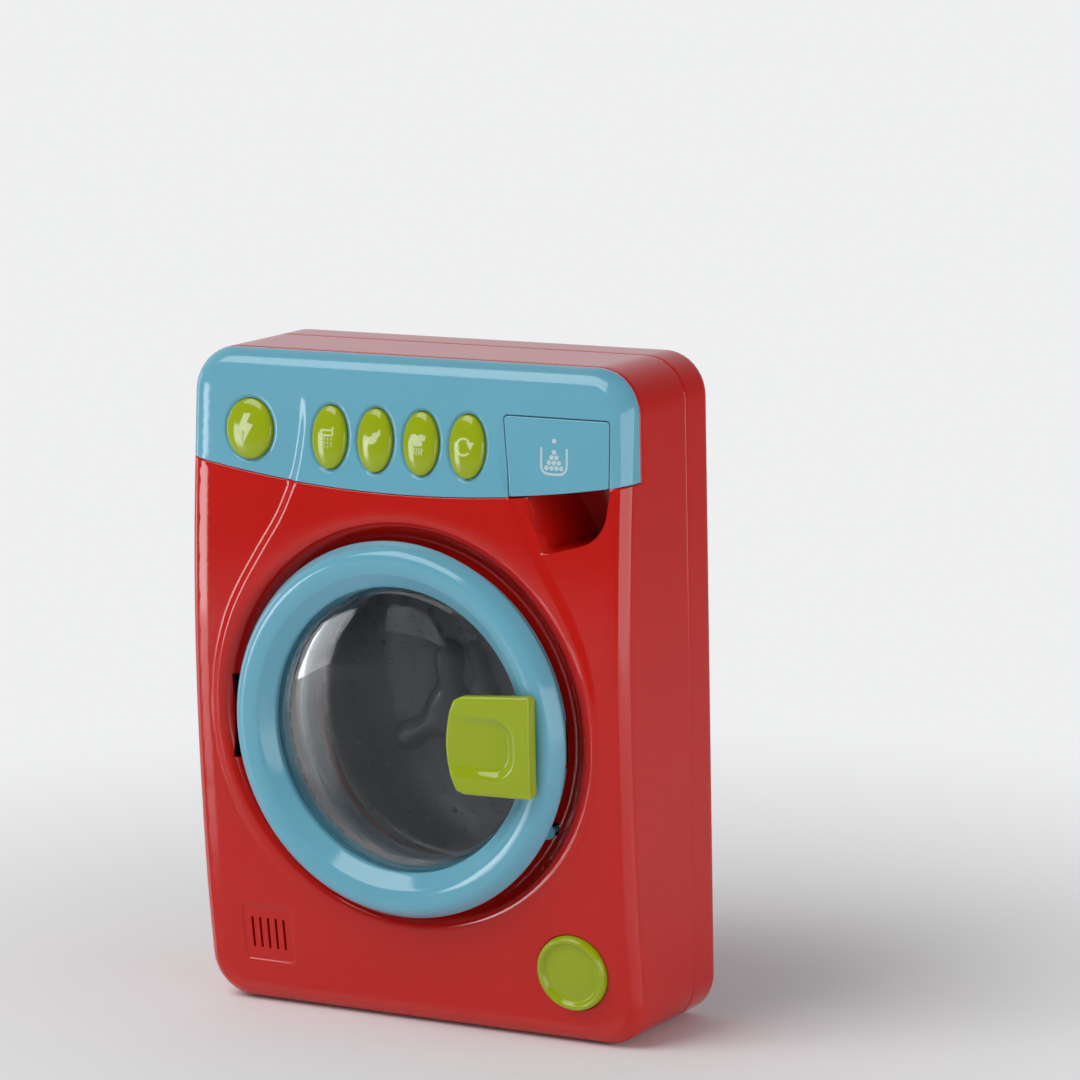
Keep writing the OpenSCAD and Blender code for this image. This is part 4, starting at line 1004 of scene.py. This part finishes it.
parts.append((lift(v2, 28), f2))
for x, z in BOSS:
    c = circle(x, z, 3.6, 32)
    parts.append(skirt(lift(c, 46), (0, -11, 0)))
    v2, f2 = tri2d(c, [circle(x, z, 1.9, 20)], (), [])
    parts.append((lift(v2, 35), f2))
make("casing_rear", parts, RED, "casing", ["rear_shell"], outward=(0, 20, 140))


# Floor, light and camera.
me = bpy.data.meshes.new("floor")
me.from_pydata([(-12, -12, -0.0005), (12, -12, -0.0005), (12, 12, -0.0005), (-12, 12, -0.0005)], [], [(0, 1, 2, 3)])
floor = bpy.data.objects.new("floor", me)
bpy.context.scene.collection.objects.link(floor)
m = bpy.data.materials.new("floor_pale")
m.use_nodes = True
nt = m.node_tree
gloss = nt.nodes["Principled BSDF"]
gloss.inputs["Base Color"].default_value = srgb(236, 236, 236)
gloss.inputs["Roughness"].default_value = 0.14
matt = nt.nodes.new("ShaderNodeBsdfDiffuse")
matt.inputs["Color"].default_value = srgb(240, 240, 240)
path = nt.nodes.new("ShaderNodeLightPath")
mix = nt.nodes.new("ShaderNodeMixShader")
nt.links.new(path.outputs["Is Glossy Ray"], mix.inputs["Fac"])
nt.links.new(matt.outputs["BSDF"], mix.inputs[1])
nt.links.new(gloss.outputs["BSDF"], mix.inputs[2])
# Far from the toy the floor fades into the backdrop, for the camera only
far = nt.nodes.new("ShaderNodeEmission")
far.inputs["Color"].default_value = BACKDROP
place = nt.nodes.new("ShaderNodeTexCoord")
reach = nt.nodes.new("ShaderNodeVectorMath")
reach.operation = "LENGTH"
fade = nt.nodes.new("ShaderNodeMapRange")
fade.interpolation_type = "SMOOTHSTEP"
fade.inputs["From Min"].default_value, fade.inputs["From Max"].default_value = 0.08, 0.62
only = nt.nodes.new("ShaderNodeMath")
only.operation = "MULTIPLY"
blend = nt.nodes.new("ShaderNodeMixShader")
nt.links.new(place.outputs["Object"], reach.inputs[0])
nt.links.new(reach.outputs["Value"], fade.inputs["Value"])
nt.links.new(fade.outputs["Result"], only.inputs[0])
nt.links.new(path.outputs["Is Camera Ray"], only.inputs[1])
nt.links.new(only.outputs["Value"], blend.inputs["Fac"])
nt.links.new(mix.outputs["Shader"], blend.inputs[1])
nt.links.new(far.outputs["Emission"], blend.inputs[2])
nt.links.new(blend.outputs["Shader"], nt.nodes["Material Output"].inputs["Surface"])
me.materials.append(m)

world = bpy.data.worlds.new("studio")
world.use_nodes = True
bpy.context.scene.world = world
wt = world.node_tree
bg = wt.nodes["Background"]
bg.inputs["Color"].default_value = (0.94, 0.96, 1.0, 1)
tc = wt.nodes.new("ShaderNodeTexCoord")
dot = wt.nodes.new("ShaderNodeVectorMath")
dot.operation = "DOT_PRODUCT"
dot.inputs[1].default_value = (-0.9, 1.0, 0.0)
rng = wt.nodes.new("ShaderNodeMapRange")
rng.interpolation_type = "SMOOTHSTEP"
for k, q in {"From Min": 0.3, "From Max": 1.2, "To Min": WORLD_FRONT, "To Max": WORLD_BACK}.items():
    rng.inputs[k].default_value = q
backdrop = wt.nodes.new("ShaderNodeBackground")
backdrop.inputs["Color"].default_value = BACKDROP
seen = wt.nodes.new("ShaderNodeLightPath")
pick = wt.nodes.new("ShaderNodeMixShader")
wt.links.new(tc.outputs["Generated"], dot.inputs[0])
wt.links.new(dot.outputs["Value"], rng.inputs["Value"])
wt.links.new(rng.outputs["Result"], bg.inputs["Strength"])
wt.links.new(seen.outputs["Is Camera Ray"], pick.inputs["Fac"])
wt.links.new(bg.outputs["Background"], pick.inputs[1])
wt.links.new(backdrop.outputs["Background"], pick.inputs[2])
wt.links.new(pick.outputs["Shader"], wt.nodes["World Output"].inputs["Surface"])


def lamp(name, loc, target, size, radiance, size_y=None, color=(1, 1, 1)):
    """Soft box of the given radiance."""
    d = bpy.data.lights.new(name, "AREA")
    d.shape = "RECTANGLE"
    d.size, d.size_y = size, size_y or size
    d.energy = radiance * math.pi * d.size * d.size_y
    d.color = color
    o = bpy.data.objects.new(name, d)
    bpy.context.scene.collection.objects.link(o)
    o.location = loc
    o.rotation_euler = (Vector(target) - Vector(loc)).to_track_quat("-Z", "Y").to_euler()
    o.visible_camera = False
    return o


lamp("key", (-0.7, -1.15, 1.75), (0, 0, 0.12), 1.5, 4.0)
lamp("left_panel", (-0.95, -0.92, 0.14), (-0.05, 0, 0.14), 0.3, 7.0, 0.36, (0.95, 0.97, 1.0))
lamp("left_edge", (-1.25, 0.02, 0.25), (-0.1, 0, 0.2), 0.16, 3.0, 0.5)
lamp("right_panel", (0.95, -0.16, 0.21), (0.1, 0, 0.21), 1.75, 2.4, 0.42, (0.95, 0.97, 1.0))

cam = bpy.data.objects.new("camera", bpy.data.cameras.new("camera"))
bpy.context.scene.collection.objects.link(cam)
SENSOR, FOCAL_PX, PICTURE_PX = 36, 5036, 1080
cam.data.sensor_width = SENSOR
cam.data.lens = SENSOR * FOCAL_PX / PICTURE_PX
back = -Vector((-0.49618441, 0.85088374, -0.17262066)).normalized()
rightv = Vector((0.86541082, 0.50067949, -0.01959977)).normalized()
upv = back.cross(rightv)
rot = Matrix((rightv, upv, back)).transposed().to_4x4()
cam.matrix_world = Matrix.Translation((1.07367, -1.75438, 0.56098)) @ rot
cam.data.clip_start, cam.data.clip_end = 0.05, 50
bpy.context.scene.camera = cam
bpy.context.scene.view_settings.view_transform = "Standard"
